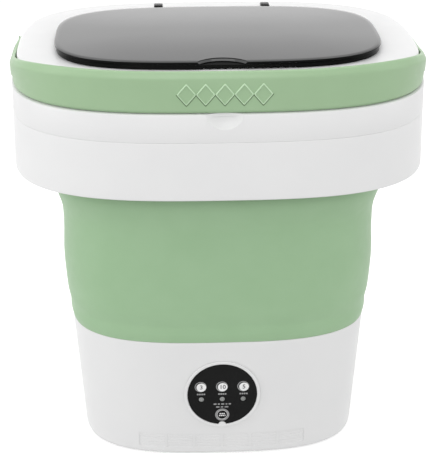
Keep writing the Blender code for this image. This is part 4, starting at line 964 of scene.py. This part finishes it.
def makeHandle():
    look, collar = handleSettings, collarSettings
    section = handleSection()
    middle, pivotY, endRadius = collar["pivotZ"], collar["pivotY"], look["endHigh"] / 2
    inner = collarHalf - collar["inset"] + look["play"]

    def armHalf(half, y):
        # the arms get thinner towards their ends
        return inner + (half - inner) * (1 - look["armThin"] * ease((y - 0.2 * pivotY) / (1.2 * pivotY)))

    def row(placeOf, topY, share=1.0):
        top = handleTop(topY)
        points = []
        for half, side, up in section:
            x, y = placeOf(half)
            z = (top if side else look["low"]) + up
            points.append(Vector((x, y, middle + (z - middle) * share)))
        return points

    def armRow(side, y, bendY, share=1.0):
        return row(lambda half: (side * sideX(armHalf(half, y), bendY), y), y, share)

    def armEnd(side):
        # the round end of an arm, from its tip to the pivot
        found = []
        for k in range(look["endSteps"], 0, -1):
            turn = math.radians(90 * k / look["endSteps"])
            y = pivotY + endRadius * math.sin(turn)
            found.append(armRow(side, y, pivotY, max(0.02, math.cos(turn))))
        return found

    rows = armEnd(-1)
    for k in range(look["armSteps"]):
        y = pivotY * (1 - k / look["armSteps"])
        rows.append(armRow(-1, y, y))
    ring = bodyRing(collarHalf, 0)
    for angle in evenAngles(ring, look["stations"], math.pi, 2 * math.pi):
        here = ringPoint(ring, angle).y
        rows.append(row(lambda half: ringPoint(bodyRing(half, 0), angle)[:2], here))
    for k in range(look["armSteps"] + 1):
        y = pivotY * k / look["armSteps"]
        rows.append(armRow(1, y, y))
    rows += armEnd(1)[::-1]
    mesh = gridMesh("handle", rows)
    cutters = []
    for side in (-1, 1):
        place = Matrix.Translation((side * collarHalf, pivotY, middle))
        pin = rod(look["pinBore"], -20 * mm, 20 * mm, 48)
        cutters.append(placed(pin, place @ Matrix.Rotation(math.pi / 2, 4, "Y")))
    addPiece("carryHandle", carve(mesh, cutters), "handleGreen", "handle", ["carry_handle"])
    makeDiamonds()


def faceY(x, z):
    # the front of the band at this height
    look = handleSettings
    outer = collarHalf - collarSettings["inset"] + look["play"] + look["thick"]
    flat = look["high"] - look["topChamfer"] - look["lowChamfer"]
    share = (z - look["low"] - look["lowChamfer"]) / flat
    return frontY(outer - look["lean"] * (1 - share), x)


def makeDiamonds():
    look, perSide = handleSettings, handleSettings["sidePoints"]
    middle = look["low"] + look["high"] / 2 - look["drop"]
    tips = [Vector(tip) for tip in ((1, 0), (0, 1), (-1, 0), (0, -1), (1, 0))]
    for i in range(look["diamonds"]):
        middleX = (i - (look["diamonds"] - 1) / 2) * look["pitch"]
        rows = []
        for share, out in look["diamondSteps"]:
            row = []
            for k in range(4 * perSide):
                side, t = divmod(k / perSide, 1)
                blunt = 1 - 0.035 * (2 * abs(t - 0.5)) ** 8  # takes the point off each corner
                spot = tips[int(side)].lerp(tips[int(side) + 1], t) * blunt
                x, z = middleX + spot.x * look["wide"] * share, middle + spot.y * look["tall"] * share
                row.append(Vector((x, faceY(x, z) - out * mm, z)))
            rows.append(row)
        rows.append([Vector((middleX, faceY(middleX, middle) - 0.1 * mm, middle))])
        mesh = gridMesh("diamond", rows)
        addPiece(f"handleDiamond_{i}", mesh, "handleGreen", "handle", sharp=40)
        mesh.materials.append(finishes["handlePaintedHighlight"])
        mesh.materials.append(finishes["handlePaintedShadow"])
        # painted highlight along the raised rim, painted shadow in the crease under the lower edges
        for face in mesh.polygons:
            band, under = face.index // (4 * perSide), face.center.z < middle
            if band in (1, 2) and under:
                face.material_index = 2
            elif band in (2, 3, 4):
                face.material_index = 1


makeHandle()
print("handle done")


# Lid: smoked panel with a finger notch, in a black frame with hinge ears
def makeLid():
    lid = lidSettings
    top, low = lid["top"], lid["top"] - lid["thick"]
    angles = evenAngles(lidRing(0, 0), 240)
    rings = [lidRing(lid["half"] * share, low) for share in (0.55, 0.3, 0.12)]
    rings += lidRings(
        (0.9 * mm, low),
        (0.25 * mm, low + 0.25 * mm),
        (0, low + 0.9 * mm),
        (0, top - 1 * mm),
        (0.12 * mm, top - 0.55 * mm),
        (0.45 * mm, top - 0.18 * mm),
        (1.1 * mm, top),
    )
    for share in (0.03, 0.08, 0.14, 0.2, 0.27, 0.34, 0.41, 0.48, 0.55, lid["crownEnd"]):
        swell = math.sin(math.pi / 2 * min(1, share / lid["crownEnd"]))
        rings.append(lidRing(lid["half"] * share, top + lid["crown"] * swell))
    rows = [[ringPoint(ring, angle) for angle in angles] for ring in rings]
    mesh = gridMesh("panel", rows)
    radius = (lid["notchChord"] ** 2 / 4 + lid["notchDepth"] ** 2) / (2 * lid["notchDepth"])
    notchY = lid["midY"] - lid["halfDepth"] + lid["notchDepth"] - radius
    cone = lathe("cone", [
        (0, low - 5 * mm, 0),
        (radius - 1.2 * mm, low - 5 * mm, 0),
        (radius - 1.2 * mm, low + 0.5 * mm, 0),
        (radius + 0.4 * mm, top - 0.2 * mm, 0.6 * mm),
        (radius + 1.4 * mm, top + 5 * mm, 0),
        (0, top + 5 * mm, 0),
    ], 240, False, 3 * mm)
    panel = carve(mesh, [placed(cone, Matrix.Translation((0, notchY, 0)))])
    piece = addPiece("lidPanel", panel, "lidSmoke", "lid", ["lid_panel"])
    piece.data.materials.append(finishes["frameBlack"])  # its sides are as dark as the frame
    for face in piece.data.polygons:
        face.material_index = int(abs(face.normal.z) < lid["sideSlope"])


def ribLift(point):
    # the frame's lower edge rises between small ribs along part of its front
    lid = lidSettings
    if point.y > lid["midY"] or not lid["ribFrom"] < point.x < lid["ribTo"]:
        return 0.0
    return lid["ribRise"] * abs(math.sin(math.pi * (point.x - lid["ribFrom"]) / lid["ribPitch"]))


def makeLidFrame():
    lid = lidSettings
    top, low = lid["top"] - lid["thick"] - seatGap, deckZ + seatGap
    inset, flangeZ = lid["skirtInset"], top - lid["flangeThick"]
    flangeIn, skirtIn = inset + lid["flangeWide"], inset + lid["skirtWide"]
    front = [a for a in evenAngles(lidRing(0, 0), 2400) if ribZone(a)]
    angles = sorted(front + [a for a in evenAngles(lidRing(0, 0), 240) if not ribZone(a)])
    flat = [
        (flangeIn, top),
        (flangeIn, flangeZ),
        (skirtIn + 0.6 * mm, flangeZ),
        (skirtIn, flangeZ - 0.6 * mm),
        (skirtIn, low),
        (inset + 0.7 * mm, low),
        (inset + 0.2 * mm, low + 0.2 * mm),
        (inset, low + 0.7 * mm),
        (inset, top - 0.5 * mm),
        (inset + 0.15 * mm, top - 0.15 * mm),
        (inset + 0.5 * mm, top),
    ]
    rows = []
    for step, z in flat:
        row = [ringPoint(lidRing(step, z), angle) for angle in angles]
        if z < low + 1 * mm:
            row = [p + Vector((0, 0, ribLift(p))) for p in row]
        rows.append(row)
    mesh = gridMesh("frame", rows, wrapRows=True)
    back = lid["midY"] + lid["halfDepth"]
    reach = lid["hingeY"] - back + inset + 1.5 * mm
    panelBack = back - 0.4 * mm
    deep = lid["hingeY"] + lid["earBack"] - panelBack
    half = lid["earWide"] / 2
    ears, bores = [], []
    for side in (-1, 1):
        # a strap under the panel, the ear that stands behind it, then the knuckle round the pin
        x, z = side * lid["earX"], lid["hingeZ"]
        strap = (x, lid["hingeY"] - reach / 2, z)
        ears.append(block(lid["earWide"], reach, -1.6 * mm, top - z - 0.05 * mm, strap))
        ear = (x, panelBack + deep / 2, z)
        ears.append(block(lid["earWide"], deep, -1.5 * mm, lid["earRise"], ear, 1.1 * mm))
        turn = Matrix.Translation((x, lid["hingeY"], z)) @ Matrix.Rotation(math.pi / 2, 4, "Y")
        ears.append(placed(rod(lid["knuckle"], -half, half, 48), turn))
        bores.append(placed(rod(lid["bore"], -10 * mm, 10 * mm, 32), turn))
    shaped = carve(carve(mesh, ears, "UNION"), bores)
    addPiece("lidFrame", shaped, "frameBlack", "lid", ["lid_frame"])


def ribZone(angle):
    point = ringPoint(lidRing(0, 0), angle)
    return point.y < 0 and lidSettings["ribFrom"] - 2 * mm < point.x < lidSettings["ribTo"] + 2 * mm


makeLid()
makeLidFrame()
print("lid done")

# Finishes for the parts that keep their own shape
keptFinishes = {
    "whiteShell": ["bottom_plate", "bellows_clamp", "drain_elbow"],
    "whiteInner": ["washing_tub", "pulsator"],
    "handleGreen": ["pivot_pin_left", "pivot_pin_right"],
    "panelBlack": ["button_switch", "power_socket"],
    "footRubber": ["foot_front_left", "foot_front_right", "foot_rear_left", "foot_rear_right"],
    "plugRubber": ["drain_plug", "shaft_seal"],
    "brightSteel": [
        "base_screw_front_left", "base_screw_front_right", "base_screw_rear_left",
        "base_screw_rear_right", "pulsator_screw", "output_shaft", "motor_shaft", "motor_pinion",
        "motor_screw_left", "motor_screw_right", "shaft_bearing", "hinge_pin_left", "hinge_pin_right",
    ],
    "motorSteel": ["drive_motor"],
    "gearNylon": ["gearbox_plate", "gearbox_cover", "lower_bush", "drive_gear"],
    "boardGreen": ["control_board"],
    "leadRed": ["power_lead", "motor_lead"],
}
for finishName, names in keptFinishes.items():
    for name in names:
        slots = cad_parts[name].data.materials
        slots.clear()
        slots.append(finishes[finishName])
print("kept parts finished")
